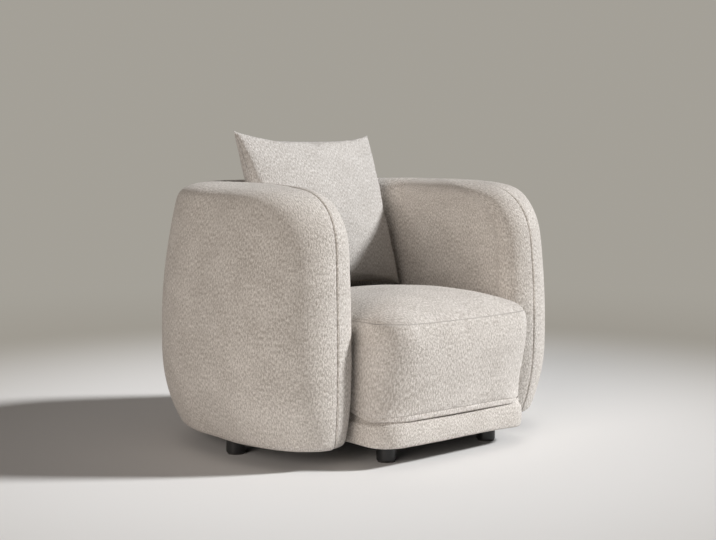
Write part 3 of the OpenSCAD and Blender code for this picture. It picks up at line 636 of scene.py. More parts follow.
def stuff(bm, held, pressure, reach, slack, frames=FRAMES, stiffness=15.0):
    """Swells a closed bmesh by cloth pressure. held are the vertices that stay."""
    mesh = bpy.data.meshes.new("stuffing")
    bm.verts.index_update()
    stay = {v.index for v in held}
    bm.to_mesh(mesh)
    piece = bpy.data.objects.new("stuffing", mesh)
    bpy.context.scene.collection.objects.link(piece)
    group = piece.vertex_groups.new(name="held")
    if stay:
        group.add(sorted(stay), 1.0, "REPLACE")
    cloth = piece.modifiers.new("cloth", "CLOTH")
    cloth.settings.quality = 6
    cloth.settings.mass = 0.3
    cloth.settings.tension_stiffness = stiffness
    cloth.settings.compression_stiffness = stiffness
    cloth.settings.shear_stiffness = stiffness / 3
    cloth.settings.bending_stiffness = 0.4
    cloth.settings.use_pressure = True
    cloth.settings.uniform_pressure_force = pressure
    cloth.settings.shrink_min = -slack
    cloth.settings.vertex_group_mass = "held"
    cloth.settings.effector_weights.gravity = 0.0
    cloth.collision_settings.use_collision = False
    cloth.point_cache.frame_start = 1
    cloth.point_cache.frame_end = frames
    scene = bpy.context.scene
    for number in range(1, frames + 1):
        scene.frame_set(number)
    swollen = piece.evaluated_get(bpy.context.evaluated_depsgraph_get()).to_mesh()
    furthest = 0.0
    for vert, after in zip(bm.verts, swollen.vertices):
        move = after.co - vert.co
        furthest = max(furthest, move.length)
        vert.co += move * min(1.0, reach / max(move.length, 1e-9))
    bpy.data.objects.remove(piece)
    scene.frame_set(1)
    return furthest


print("simulation:", FRAMES, "frames a cushion, skipped in a quick look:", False)

# %% [markdown]
# ## The seat cushion
# The cushion is a loose box: a top panel, a boxing strip all round and a bottom panel, around
# one block of foam. Its top edge is soft and wide, its crown stands 30 mm above that edge. The
# top starts as a square grid that is pressed into the rounded plan, which keeps every face a
# quad and leaves no pole in the middle. The sides are then pulled down from its rim by
# extruding, row by row, and a copy of the top laid flat closes the box. Below the boxing's
# lower seam a narrow strip rolls under. At the front the cover hangs over the border and is
# tucked in, and the foam inside it does not follow.

# %% Plan of the cushion
seat_half_l = (seat_back - seat_front) / 2
seat_mid = (seat_back + seat_front) / 2


def seat_inset(x, y):
    """How far a place of the straight plan lies inside the cushion's rim."""
    s = abs(x) - seat_half + seat_corner_r
    t = abs(y) - seat_half_l + seat_corner_r
    if s > 0 and t > 0:
        return seat_corner_r - math.hypot(s, t)
    return min(seat_half - abs(x), seat_half_l - abs(y))


def seat_rim(x, y):
    """Nearest rim point of the straight plan and the direction that looks out there."""
    s = abs(x) - seat_half + seat_corner_r
    t = abs(y) - seat_half_l + seat_corner_r
    if s > 0 and t > 0:
        out = Vector((math.copysign(s, x), math.copysign(t, y))).normalized()
    elif seat_half - abs(x) < seat_half_l - abs(y):
        out = Vector((math.copysign(1.0, x), 0.0))
    else:
        out = Vector((0.0, math.copysign(1.0, y)))
    return Vector((x, y)) + out * seat_inset(x, y), out


def seat_bowed(x, y):
    """Places a point of the straight plan, with the front's slight bow."""
    front = min(1.0, max(0.0, 1 - (y + seat_half_l) / seat_half_l))
    bow = seat_bow * min(1.0, abs(x) / (seat_half - seat_corner_r)) ** 2
    return x, y + seat_mid + bow * front * front * (3 - 2 * front)


print("cushion:", round(2 * seat_half, 3), "by", round(2 * seat_half_l, 3), "m")

# %% Heights of the cushion
seat_edge_r = 0.075
seat_crown = 0.030
seat_power = 2.55
seat_under_h = 0.014
seat_under_r = 0.005
seam_inset = 0.0138
ROLL_PART = 0.25


def seat_dome(inset):
    """Height of the cushion's top at an inset from its rim."""
    s = 1 - min(max(inset, 0.0), seat_half) / seat_half
    rise = (1 - s ** seat_power) ** (1 / seat_power)
    return seat_top_h - seat_edge_r + (seat_edge_r + seat_crown) * rise


def seat_top_place(s, t):
    """Point of the top panel at s across and t along the cut."""
    half_w, half_l, r = seat_half - seam_inset, seat_half_l - seam_inset, seat_corner_r - seam_inset
    x, y = s - half_w, t - half_l
    a, b = (abs(x) - half_w + r) / r, (abs(y) - half_l + r) / r
    if a > 0 and b > 0:
        x = math.copysign(half_w - r + r * a * math.sqrt(1 - b * b / 2), x)
        y = math.copysign(half_l - r + r * b * math.sqrt(1 - a * a / 2), y)
    return Vector((x, y, seat_dome(seat_inset(x, y))))


def side_profile(t):
    """Inset and height of the cushion's side, t from 0 at the upper seam to 1 at the lower."""
    if t < ROLL_PART:
        inset = seam_inset * (1 - t / ROLL_PART) ** 2
        return inset, seat_dome(inset)
    share = (t - ROLL_PART) / (1 - ROLL_PART)
    high, low = seat_top_h - seat_edge_r, seat_low + seat_under_h
    return -seat_swell * math.sin(math.pi * share) ** 0.8, high + (low - high) * share


print("crown at", round(seat_dome(seat_half), 3), "m, upper seam at", round(seat_dome(seam_inset), 3), "m")

# %% What the pillow and the border do to the cushion
pillow_dent = 0.011
dent_from, dent_full = -0.05, 0.14
seat_tuck, tuck_reach, tuck_fade = 0.028, 0.13, 0.05
seat_overhang, overhang_from = 0.012, 0.75
hang_full, hang_end = 0.08, 0.23
hang_h = 0.12
corner_draw = {-1.0: 0.004, 1.0: 0.012}


def eased(value, low, high):
    """A smooth step from 0 at low to 1 at high."""
    share = min(1.0, max(0.0, (value - low) / (high - low)))
    return share * share * (3 - 2 * share)


def sat_on(point, inset, facing):
    """Dents the top under the pillow and hangs, tucks and draws in the cushion's lower front.

    inset is the distance from the rim, facing is 1 where the rim faces the front. It gives
    back how far the point hangs, because only the cover hangs and the foam does not."""
    top_share = eased(point.z, seat_top_h - seat_edge_r, seat_top_h)
    dent = pillow_dent * eased(point.y, seat_mid + dent_from, seat_mid + dent_full) * top_share
    corner_x = max(0.0, (abs(point.x) - seat_half + seat_corner_r) / seat_corner_r)
    corner_y = max(0.0, (seat_front + seat_corner_r - point.y) / seat_corner_r)
    low_share = 1 - eased(point.z, seat_low, seat_top_h - tuck_fade)
    front_share = 1 - eased(point.y, seat_front, seat_front + tuck_reach)
    overhang = seat_overhang * eased(facing, overhang_from, 1.0)
    hang = max(0.0, rim_drop(point.x, max(0.0, inset - overhang)) - RIM_GAP)
    hang *= 1 - eased(point.y, seat_front + hang_full, seat_front + hang_end)
    hang *= 1 - eased(point.z, seat_low + seat_under_r, seat_low + hang_h)
    point.z -= hang
    point.y += seat_tuck * front_share * low_share
    side_draw = corner_draw[math.copysign(1.0, point.x)]
    draw = side_draw * min(1.0, 2 * corner_x * corner_y) * low_share
    point.x -= math.copysign(draw * math.sqrt(0.5), point.x)
    point.y += draw * math.sqrt(0.5)
    point.z -= dent
    return hang


front_middle = Vector((0.0, seat_front, seat_low))
print("the front's lower edge hangs", round(sat_on(front_middle, 0.0, 1.0), 3), "m")

# %% Top and bottom of the cushion
CUSHION_STEP = 0.011
CROWN_SMOOTHING, CROWN_INSET = 25, 0.03
TOP, BOXING, UNDER, BOTTOM = 1, 2, 3, 4
width, length = 2 * (seat_half - seam_inset), 2 * (seat_half_l - seam_inset)
bm = bmesh.new()
part = bm.faces.layers.int.new("part")
straight = bm.verts.layers.float_vector.new("straight")
along = bm.verts.layers.float.new("along")
hung = bm.verts.layers.float.new("hung")
top_verts = cloth_grid(
    bm, cut_lines(width, CUSHION_STEP), cut_lines(length, CUSHION_STEP), seat_top_place)
cut = bm.verts.layers.float_vector["cut"]
for vert in top_verts:
    vert[straight] = vert.co
    vert[cut].z = seat_inset(vert.co.x, vert.co.y) - seam_inset
inner_top = [v for v in top_verts if v[cut].z > CROWN_INSET]
for turn in range(CROWN_SMOOTHING):
    bmesh.ops.smooth_vert(bm, verts=inner_top, factor=0.5, use_axis_z=True)
for face in bm.faces:
    face[part] = TOP
bottom = bmesh.ops.duplicate(bm, geom=list(bm.faces) + list(bm.edges) + list(bm.verts))["geom"]
bottom_faces = [g for g in bottom if isinstance(g, bmesh.types.BMFace)]
bottom_verts = {v for f in bottom_faces for v in f.verts}
for vert in bottom_verts:
    vert.co.z = seat_low
bmesh.ops.reverse_faces(bm, faces=bottom_faces)
for face in bottom_faces:
    face[part] = BOTTOM
print("top panel cut", round(width, 3), "by", round(length, 3), "m")

# %% Rows down the side of the cushion
profile_lengths, profile_shares = ruler(lambda t: Vector(side_profile(t)), 0.0, 1.0)
side_h = profile_lengths[-1]
side_rows = [(d, *side_profile(np.interp(d, profile_lengths, profile_shares)), BOXING)
             for d in cut_lines(side_h, CUSHION_STEP)[1:]]
upright = seat_under_h - seat_under_r
under_turns = [math.radians(a) for a in (18, 36, 54, 72, 90)]
side_rows += [(side_h + upright * k / 4, 0.0, seat_low + seat_under_h - upright * k / 4, UNDER)
              for k in range(1, 5)]
side_rows += [(side_h + upright + seat_under_r * a, seat_under_r * (1 - math.cos(a)),
               seat_low + seat_under_r * (1 - math.sin(a)), UNDER) for a in under_turns]
side_rows += [(side_h + seat_under_h + 0.01, seam_inset, seat_low, BOTTOM)]
print("rows down the side:", len(side_rows), "over", round(side_h, 3), "m")

# %% Pull the sides down from the rim of the top
rim = [e for e in bm.edges if e.is_boundary and not bottom_verts.intersection(e.verts)]
middle_back = min((v for e in rim for v in e.verts), key=lambda v: (-v.co.y, abs(v.co.x)))
walk = [middle_back]
while True:
    near = [e.other_vert(walk[-1]) for e in walk[-1].link_edges if e.is_boundary]
    ahead = [v for v in near if v not in walk]
    if not ahead:
        break
    walk.append(ahead[0])
girth = 0.0
for a, b in zip(walk, walk[1:] + walk[:1]):
    a[along] = girth
    girth += (b.co - a.co).length

for d, inset, z, kind in side_rows:
    made = bmesh.ops.extrude_edge_only(bm, edges=rim)["geom"]
    for face in (g for g in made if isinstance(g, bmesh.types.BMFace)):
        face[part] = kind
    for vert in (g for g in made if isinstance(g, bmesh.types.BMVert)):
        point, out = seat_rim(vert[straight].x, vert[straight].y)
        vert.co = Vector((*(point - out * inset), z))
        vert[cut] = Vector((vert[along], d, min(d, abs(side_h - d))))
    rim = [g for g in made if isinstance(g, bmesh.types.BMEdge) and g.is_boundary]
bmesh.ops.remove_doubles(bm, verts=list(bm.verts), dist=0.0002)
bmesh.ops.recalc_face_normals(bm, faces=list(bm.faces))
for vert in bm.verts:
    inset, facing = seat_inset(vert.co.x, vert.co.y), -seat_rim(vert.co.x, vert.co.y)[1].y
    vert.co.x, vert.co.y = seat_bowed(vert.co.x, vert.co.y)
    vert[hung] = sat_on(vert.co, inset, facing)
bm.normal_update()
held = [v for v in bm.verts
        if v[cut].z < 1e-5 or any(f[part] in (UNDER, BOTTOM) for f in v.link_faces)]
print("cushion mesh:", len(bm.verts), "vertices, girth", round(girth, 3), "m")

# %% Stuff the cushion
START_SINK, SINK_REACH = 0.004, 0.03
SIDE_LIMIT = 0.2695
back_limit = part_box("seat_zip_tape")[0].y - 0.0006
held_set = set(held)
for vert, normal in [(v, v.normal.copy()) for v in bm.verts if v not in held_set]:
    vert.co -= normal * START_SINK * min(1.0, vert[cut].z / SINK_REACH)
furthest = stuff(bm, held, pressure=2.0, reach=0.006, slack=0.002)
for vert in bm.verts:
    vert.co.x = max(-SIDE_LIMIT, min(SIDE_LIMIT, vert.co.x))
    vert.co.y = min(back_limit, vert.co.y)
bm.normal_update()
core = bm.copy()
pull_cover(bm, [v for v in bm.verts if any(f[part] != BOTTOM for f in v.link_faces)],
           wave_h=0.0014, pucker_h=0.0003, seed=11.0, seam_depth=0.0012)
print("the furthest point wanted to move", round(furthest * 1000, 1), "mm")


# %% Panels of the cushion
def part_of(bm, kind, name, body, node, thickness=COVER_T, girth=0.0):
    """One sewn panel of a stuffed piece, with its thickness."""
    own = bm.copy()
    layer = own.faces.layers.int["part"]
    others = [f for f in own.faces if f[layer] != kind]
    bmesh.ops.delete(own, geom=others, context="FACES")
    piece = finish_mesh(own, name, girth=girth)
    add_thickness(piece, thickness)
    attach(piece, body)
    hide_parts(node)
    return piece


seat_top = part_of(bm, TOP, "seat_top", "seat_cushion", "seat_top_panel")
seat_side = part_of(bm, BOXING, "seat_side", "seat_cushion", "seat_boxing", girth=girth)
seat_under_roll = part_of(
    bm, UNDER, "seat_under_roll", "seat_cushion", "seat_bottom_panel", girth=girth)
seat_bottom = part_of(
    bm, BOTTOM, "seat_bottom", "seat_cushion", "seat_bottom_panel")
bm.free()
print("cushion cover: top, boxing, under roll and bottom")

# %% The foam in the cushion
SEAM_ROOM, SEAM_ROOM_REACH = 0.006, 0.012


def stuffing(core, name, body, node, inset):
    """What fills a cover: the same form a little smaller, and smaller still at the seams."""
    cut = core.verts.layers.float_vector["cut"]
    core.normal_update()
    for vert, normal in [(v, v.normal.copy()) for v in core.verts]:
        room = SEAM_ROOM * math.exp(-vert[cut].z / SEAM_ROOM_REACH)
        vert.co -= normal * (inset + room)
    piece = finish_mesh(core, name)
    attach(piece, body)
    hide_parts(node)
    return piece


core_hung = core.verts.layers.float["hung"]
for vert in core.verts:
    vert.co.z += vert[core_hung]
seat_foam = stuffing(core, "seat_foam", "seat_cushion", "seat_core", PAD_D)
print("cushion top at", round(max(v.co.z for v in seat_top.data.vertices), 4), "m")

# %% [markdown]
# ## The scatter pillow
# A scatter pillow is two flat squares of cloth sewn together all round, turned and filled. It
# has no boxing, so its shape comes from the filling alone: full in the middle, flat and pointed
# at the corners, with its edges drawn in between them. Blown up from flat it would swell into
# a star, because pressure knows no filling. So two grids start in the filled shape, and cloth
# pressure on slightly slack cloth adds the creases that run in from the seams and corners. Its
# upper corner at the right arm was plucked up a little, and the other one wasn't.

# %% Size and lean of the pillow
pillow_w = 0.518
pillow_h = 0.464
pillow_t = 0.150
pillow_lean = math.radians(17.0)
pillow_turn = math.radians(4.5)
draw_left, draw_right, draw_top, draw_bottom = 0.005, 0.006, 0.006, 0.009
pillow_sag = 0.006
pillow_aside = 0.003
ear_x, ear_y = 0.001, 0.009
ear_reach = 0.055
fullness_power = 0.55
PILLOW_STEP = 0.009
FRONT, BACK = 1, 2
insert_low, insert_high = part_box("pillow_insert")
pillow_middle = (insert_low + insert_high) / 2 - Vector((pillow_aside, 0.0, pillow_sag))
print("pillow middle at", [round(c, 3) for c in pillow_middle])


def pillow_fullness(s, t):
    """Half the thickness of a filled pillow at s, t from -1 to 1."""
    return (max(0.0, (1 - s * s) * (1 - t * t))) ** fullness_power


def bag_place(side):
    """Places one face of the filled bag."""
    def place(s, t):
        u, v = 2 * s / pillow_w - 1, 2 * t / pillow_h - 1
        x = u * (pillow_w / 2 - (draw_left if u < 0 else draw_right) * (1 - v * v))
        y = v * (pillow_h / 2 - (draw_bottom if v < 0 else draw_top) * (1 - u * u))
        return Vector((x, y, side * (pillow_t / 2 - START_SINK) * pillow_fullness(u, v)))
    return place


# %% Sew and fill the pillow
bm = bmesh.new()
part = bm.faces.layers.int.new("part")
columns = cut_lines(pillow_w, PILLOW_STEP, False, False)
rows = cut_lines(pillow_h, PILLOW_STEP, False, False)
cloth_grid(bm, columns, rows, bag_place(1.0),
           lambda s, t: min(s, t, pillow_w - s, pillow_h - t))
for face in bm.faces:
    face[part] = FRONT
cloth_grid(bm, columns, rows, bag_place(-1.0),
           lambda s, t: min(s, t, pillow_w - s, pillow_h - t), flip=True)
for face in bm.faces:
    face[part] = face[part] or BACK
bmesh.ops.remove_doubles(bm, verts=list(bm.verts), dist=0.00005)
cut = bm.verts.layers.float_vector["cut"]
stuff(bm, [], pressure=1.5, reach=0.010, slack=0.045, frames=16)
PILLOW_SIZE = Vector((pillow_w, pillow_h, pillow_t))
low = Vector([min(v.co[k] for v in bm.verts) for k in range(3)])
high = Vector([max(v.co[k] for v in bm.verts) for k in range(3)])
print("stuffed:", [round(c, 3) for c in high - low])
centre = (low + high) / 2
for vert in bm.verts:
    p = vert.co - centre
    vert.co = Vector([p[k] * PILLOW_SIZE[k] / (high[k] - low[k]) for k in range(3)])
    to_ear = math.hypot(vert.co.x + pillow_w / 2, vert.co.y - pillow_h / 2)
    pointed = max(0.0, 1 - to_ear / (2 * ear_reach)) ** 2
    vert.co += Vector((-ear_x * pointed, ear_y * pointed, 0.0))

# %% Lean the pillow on the back
REST_GAP = 0.0012
NEAR = 0.05
across = Vector((math.cos(pillow_turn), math.sin(pillow_turn), 0.0))
level = Vector((-math.sin(pillow_turn), math.cos(pillow_turn), 0.0))
upwards = level * math.sin(pillow_lean) + Vector((0.0, 0.0, math.cos(pillow_lean)))
forwards = -level * math.cos(pillow_lean) + Vector((0.0, 0.0, math.sin(pillow_lean)))
for vert in bm.verts:
    x, y, z = vert.co
    vert.co = pillow_middle + across * x + upwards * y + forwards * z


def rest_on(bm, pieces, gap):
    """Moves the points of a soft piece that pass into a neighbour out to its face."""
    moved = 0
    graph = bpy.context.evaluated_depsgraph_get()
    for piece in pieces:
        tree = BVHTree.FromObject(piece, graph)
        for vert in bm.verts:
            place, normal, _, _ = tree.find_nearest(vert.co, NEAR)
            if place is not None and (vert.co - place).dot(normal) < gap:
                vert.co = place + normal * gap
                moved += 1
    return moved


back_inside = barrel_covers[4]
pressed = rest_on(bm, [back_inside, seat_top], REST_GAP)
print("pillow:", pressed, "points pressed against its neighbours")

# %% Cover and filling of the pillow
PILLOW_CLOTH_T = 0.0012
PILLOW_FILL_D = 0.0022
bm.normal_update()
core = bm.copy()
pull_cover(bm, list(bm.verts), wave_h=0.0016, pucker_h=0.0008, seed=17.0, seam_depth=0.0015)
seam_line = [(v[cut].x, v.co.copy()) for v in bm.verts if v[cut].y < 1e-6]
pillow_front = part_of(bm, FRONT, "pillow_front", "back_pillow", "pillow_front_panel",
                       thickness=PILLOW_CLOTH_T)
pillow_back = part_of(bm, BACK, "pillow_back", "back_pillow", "pillow_back_panel",
                      thickness=PILLOW_CLOTH_T)
bm.free()
pillow_filling = stuffing(
    core, "pillow_filling", "back_pillow", "pillow_insert", PILLOW_FILL_D)
print("points on the pillow's lower seam:", len(seam_line))

# %% The zip strip in the pillow's lower seam
ZIP_STRIP_R = 0.0014
STRIP_END = 0.004
zip_from, zip_to = 0.14 * pillow_w, 0.86 * pillow_w
seam_line.sort(key=lambda item: item[0])
seam_s = [s for s, point in seam_line]
seam_points = [[point[k] for s, point in seam_line] for k in range(3)]


def seam_at(s):
    """Point of the pillow's lower seam at s along the cut."""
    return Vector([float(np.interp(s, seam_s, line)) for line in seam_points])


def strip_place(s, t):
    """Point of the slim closed strip, t round it."""
    round_t = 2 * math.pi * t
    ease = min(1.0, (s - zip_from) / STRIP_END + 0.3, (zip_to - s) / STRIP_END + 0.3)
    offset = forwards * math.cos(round_t) + upwards * math.sin(round_t)
    return seam_at(s) + offset * ZIP_STRIP_R * ease


bm = bmesh.new()
cloth_grid(bm, even(zip_from, zip_to, 90), even(0.0, 1.0, 8), strip_place)
bmesh.ops.remove_doubles(bm, verts=list(bm.verts), dist=0.00002)
bmesh.ops.holes_fill(bm, edges=[e for e in bm.edges if e.is_boundary], sides=0)
bmesh.ops.recalc_face_normals(bm, faces=list(bm.faces))
pillow_strip = finish_mesh(bm, "pillow_zip_strip")
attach(pillow_strip, "back_pillow")
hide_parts("pillow_zip")
print("pillow zip:", round(zip_to - zip_from, 3), "m")

# %% [markdown]
# ## The deck and the cloth underneath
# Lift the cushion and there is the deck, a thin felt pad over the webbing. Turn the chair over
# and there is a black dust cloth, stretched and stapled. Both are flat, and flat is what makes
# a model look dead, so each is a copy of its plain slab, sliced into squares with bisecting
# planes and let sag a little.

# %% Slice a slab
def sliced_copy(node, name, step, sag_at):
    """A copy of a flat CAD slab with lines step apart, sagging by sag_at(x, y)."""
    bm = bmesh.new()
    bm.from_mesh(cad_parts[node].data)
    bmesh.ops.remove_doubles(bm, verts=list(bm.verts), dist=0.00001)
    bmesh.ops.dissolve_limit(bm, angle_limit=0.01, verts=list(bm.verts), edges=list(bm.edges))
    low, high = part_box(node)
    for axis in (0, 1):
        normal = Vector([1.0 if k == axis else 0.0 for k in range(3)])
        count = int((high[axis] - low[axis]) / step)
        for k in range(1, count):
            place = normal * (low[axis] + (high[axis] - low[axis]) * k / count)
            everything = list(bm.verts) + list(bm.edges) + list(bm.faces)
            bmesh.ops.bisect_plane(bm, geom=everything, plane_co=place, plane_no=normal)
    for vert in bm.verts:
        vert.co.z -= sag_at(vert.co.x, vert.co.y)
    bm.normal_update()
    top_area = sum(f.calc_area() for f in bm.faces if f.normal.z > 0.5)
    piece = finish_mesh(bm, name, smooth=False)
    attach(piece, "root")
    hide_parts(node)
    return piece, top_area


print("slabs are sliced in two directions")

# %% Sag of the deck and of the dust cloth
DECK_SAG, DUST_SAG = 0.0004, 0.004
BAND_X, BAND_Y = 0.11, 0.12
DECK_EDGE = 0.08
DUST_R, DUST_EDGE = 0.43, 0.20


def deck_sag(x, y):
    """The deck sinks a little between the bands of the webbing."""
    bands = math.sin(math.pi * x / BAND_X) ** 2 + math.sin(math.pi * y / BAND_Y) ** 2
    inside = min(0.20 - abs(x), y + 0.34, 0.14 - y)
    return DECK_SAG * bands * max(0.0, min(1.0, inside / DECK_EDGE))


def dust_sag(x, y):
    """The dust cloth hangs a little in the middle and stays up at its edges and feet."""
    return DUST_SAG * eased(DUST_R - math.hypot(x, y), 0.0, DUST_EDGE)


print("the dust cloth sags", DUST_SAG * 1000, "mm")

# %% Deck and dust cloth
deck, deck_area = sliced_copy("seat_deck", "deck_pad", 0.03, deck_sag)
dust_cloth, dust_area = sliced_copy("dust_cover", "dust_cloth", 0.04, dust_sag)
print("deck", round(deck_area, 3), "m2, dust cloth", round(dust_area, 3), "m2")

# %% [markdown]
# ## Finishes
# A material here is a small graph of nodes. Effects that several finishes share are node
# groups, built once with named inputs, and each material puts in its own colours and sizes.
# Cloth reads its UV map, which is in metres of cloth, so the yarns have their true size and
# turn with the surface. Wood, foam and metal read Object coordinates, because they are cut
# from a block.

# %% Node helpers
def add(tree, kind, values=None, **settings):
    """A new node with its settings and the values of its sockets."""
    made = tree.nodes.new(kind)
    for name, value in settings.items():
        setattr(made, name, value)
    for name, value in (values or {}).items():
        made.inputs[name].default_value = value
    return made


def join(tree, *pairs):
    """Links each pair of sockets."""
    for source, target in pairs:
        tree.links.new(source, target)


def new_group(name, inputs, outputs):
    """An empty shader group with its sockets, and its two end nodes."""
    group = bpy.data.node_groups.new(name, "ShaderNodeTree")
    for label, kind, value in inputs:
        socket = group.interface.new_socket(label, in_out="INPUT", socket_type="NodeSocket" + kind)
        if value is not None:
            socket.default_value = value
    for label, kind in outputs:
        group.interface.new_socket(label, in_out="OUTPUT", socket_type="NodeSocket" + kind)
    return group, add(group, "NodeGroupInput"), add(group, "NodeGroupOutput")


print("nodes can be added, joined and grouped")


# %% Shorthands for vectors, colours and sums
def scaled(tree, vector, factors):
    """A vector stretched by three factors."""
    stretch = add(tree, "ShaderNodeVectorMath", operation="MULTIPLY")
    stretch.inputs[1].default_value = factors
    join(tree, (vector, stretch.inputs[0]))
    return stretch.outputs[0]


def mixed(tree, share, low, high):
    """A colour between two others."""
    mix = add(tree, "ShaderNodeMix", data_type="RGBA")
    for value, socket in ((share, 0), (low, 6), (high, 7)):
        if isinstance(value, (tuple, list)):
            mix.inputs[socket].default_value = (*value, 1.0)
        else:
            join(tree, (value, mix.inputs[socket]))
    return mix.outputs[2]


def figured(tree, operation, a, b, c=None, clamp=False):
    """A sum of sockets and numbers."""
    math_node = add(tree, "ShaderNodeMath", operation=operation, use_clamp=clamp)
    for value, socket in ((a, 0), (b, 1), (c, 2)):
        if value is None:
            continue
        if isinstance(value, (int, float)):
            math_node.inputs[socket].default_value = value
        else:
            join(tree, (value, math_node.inputs[socket]))
    return math_node.outputs[0]


print("vectors can be stretched, colours mixed and values summed")

# %% [markdown]
# ### The chair's cloth
# The cover is a napped chenille: short soft yarn ends, mostly upright, in two close shades of
# a warm greige. From a step away it reads as a fine mottle of upright flecks about eight
# millimetres tall. Close by, each fleck is a small tuft. So one stretched noise mixes the two
# shades, a cell pattern raises the tufts, and a broad noise shades the cloth a little where
# hands have brushed the nap. The flecks and tufts that raise the pile also pick its colour, so
# it is lighter where the pile stands up and darker in its hollows: partly the yarn's own two
# shades and partly painted shade. Sheen on the shader gives the pale rim of fuzzy cloth.

# %% Chenille group
chenille, given, put = new_group(
    "chenille",
    [("Place", "Vector", None),
     ("Light", "Color", (0.7, 0.6, 0.5, 1)),
     ("Dark", "Color", (0.5, 0.4, 0.3, 1)),
     ("Fleck Width", "Float", 0.0030),
     ("Fleck Height", "Float", 0.0065)],
    [("Color", "Color"), ("Roughness", "Float"), ("Height", "Float")])
size = add(chenille, "ShaderNodeCombineXYZ")
size.inputs[2].default_value = 1.0
join(chenille,
     (given.outputs["Fleck Width"], size.inputs[0]),
     (given.outputs["Fleck Height"], size.inputs[1]))
flecks_at = add(chenille, "ShaderNodeVectorMath", operation="DIVIDE")
join(chenille,
     (given.outputs["Place"], flecks_at.inputs[0]),
     (size.outputs[0], flecks_at.inputs[1]))
flecks = add(chenille, "ShaderNodeTexNoise", {"Scale": 1.0, "Detail": 3.0, "Roughness": 0.65})
tufts = add(chenille, "ShaderNodeTexVoronoi", {"Scale": 1.6, "Randomness": 0.9})
join(chenille,
     (flecks_at.outputs[0], flecks.inputs["Vector"]),
     (flecks_at.outputs[0], tufts.inputs["Vector"]))
brushed = add(chenille, "ShaderNodeTexNoise", {"Scale": 14.0, "Detail": 2.0})
join(chenille, (given.outputs["Place"], brushed.inputs["Vector"]))
# The colour follows the relief, lighter on raised flecks and tufts and darker between them: partly the
# yarn's two shades, partly painted shade in the pile's hollows.
share = figured(chenille, "MULTIPLY_ADD", flecks.outputs[0], 3.4, -1.25)
share = figured(chenille, "MULTIPLY_ADD", tufts.outputs["Distance"], -0.5, share)
share = figured(chenille, "MULTIPLY_ADD", brushed.outputs[0], 0.5, share, clamp=True)
raised = figured(chenille, "MULTIPLY_ADD", tufts.outputs["Distance"], -0.6, flecks.outputs[0])
join(chenille,
     (mixed(chenille, share, given.outputs["Dark"], given.outputs["Light"]), put.inputs["Color"]),
     (figured(chenille, "MULTIPLY_ADD", share, -0.1, 0.98), put.inputs["Roughness"]),
     (raised, put.inputs["Height"]))
print("group:", chenille.name)

# %% Cloth materials
def cloth_material(name, light, dark, width=0.0034, height=0.0078, bump=0.0022, sheen=0.12):
    """A napped cloth in two shades."""
    material = bpy.data.materials.new(name)
    material.use_nodes = True
    tree = material.node_tree
    shader = tree.nodes["Principled BSDF"]
    shader.inputs["Specular IOR Level"].default_value = 0.15
    shader.inputs["Sheen Weight"].default_value = sheen
    shader.inputs["Sheen Roughness"].default_value = 0.45
    place = add(tree, "ShaderNodeUVMap", uv_map="cloth")
    pile = add(tree, "ShaderNodeGroup", node_tree=chenille)
    pile.inputs["Light"].default_value = (*light, 1)
    pile.inputs["Dark"].default_value = (*dark, 1)
    pile.inputs["Fleck Width"].default_value = width
    pile.inputs["Fleck Height"].default_value = height
    relief = add(tree, "ShaderNodeBump", {"Strength": 0.8, "Distance": bump})
    join(tree,
         (place.outputs[0], pile.inputs["Place"]), (pile.outputs["Color"], shader.inputs["Base Color"]),
         (pile.outputs["Roughness"], shader.inputs["Roughness"]),
         (pile.outputs["Height"], relief.inputs["Height"]), (relief.outputs[0], shader.inputs["Normal"]))
    return material


# Each dark shade is partly the yarn's own colour and partly painted shade in the pile's hollows.
arm_cloth = cloth_material("arm_cloth", (0.83, 0.795, 0.755), (0.43, 0.395, 0.36))
seat_cloth = cloth_material("seat_cloth", (0.82, 0.785, 0.75), (0.45, 0.415, 0.38))
pillow_cloth = cloth_material("pillow_cloth", (0.72, 0.70, 0.68), (0.42, 0.395, 0.37))
under_cloth = cloth_material(
    "under_cloth", (0.30, 0.27, 0.24), (0.20, 0.18, 0.16), 0.0012, 0.0012, 0.0003, 0.05)
filling_cloth = cloth_material(
    "filling_cloth", (0.90, 0.89, 0.86), (0.80, 0.79, 0.76), 0.0008, 0.0008, 0.0002, 0.05)
print("cloth in", (arm_cloth.name, seat_cloth.name, pillow_cloth.name))

# %% [markdown]
# ### Foam, wadding and felt
# Foam is a field of small open cells, wadding and felt are tangled fibres. Both are a pale
# colour with a fine relief, so one group serves them with another cell size.

# %% Porous group
porous, given, put = new_group(
    "porous",
    [("Place", "Vector", None),
     ("Color", "Color", (0.9, 0.8, 0.6, 1)),
     ("Shade", "Color", (0.7, 0.6, 0.4, 1)),
     ("Cell Size", "Float", 0.0012)],
    [("Color", "Color"), ("Height", "Float")])
cells_at = add(porous, "ShaderNodeVectorMath", operation="DIVIDE")
cell_size = add(porous, "ShaderNodeCombineXYZ")
for k in range(3):
    join(porous, (given.outputs["Cell Size"], cell_size.inputs[k]))
join(porous,
     (given.outputs["Place"], cells_at.inputs[0]),
     (cell_size.outputs[0], cells_at.inputs[1]))
cells = add(porous, "ShaderNodeTexVoronoi", {"Scale": 1.0})
patches = add(porous, "ShaderNodeTexNoise", {"Scale": 0.03, "Detail": 4.0})
join(porous,
     (cells_at.outputs[0], cells.inputs["Vector"]),
     (cells_at.outputs[0], patches.inputs["Vector"]))
share = figured(porous, "MULTIPLY_ADD", cells.outputs["Distance"], 0.5, 0.25)
share = figured(porous, "MULTIPLY", share, patches.outputs[0], clamp=True)
join(porous,
     (mixed(porous, share, given.outputs["Color"], given.outputs["Shade"]), put.inputs["Color"]),
     (cells.outputs["Distance"], put.inputs["Height"]))
print("group:", porous.name)


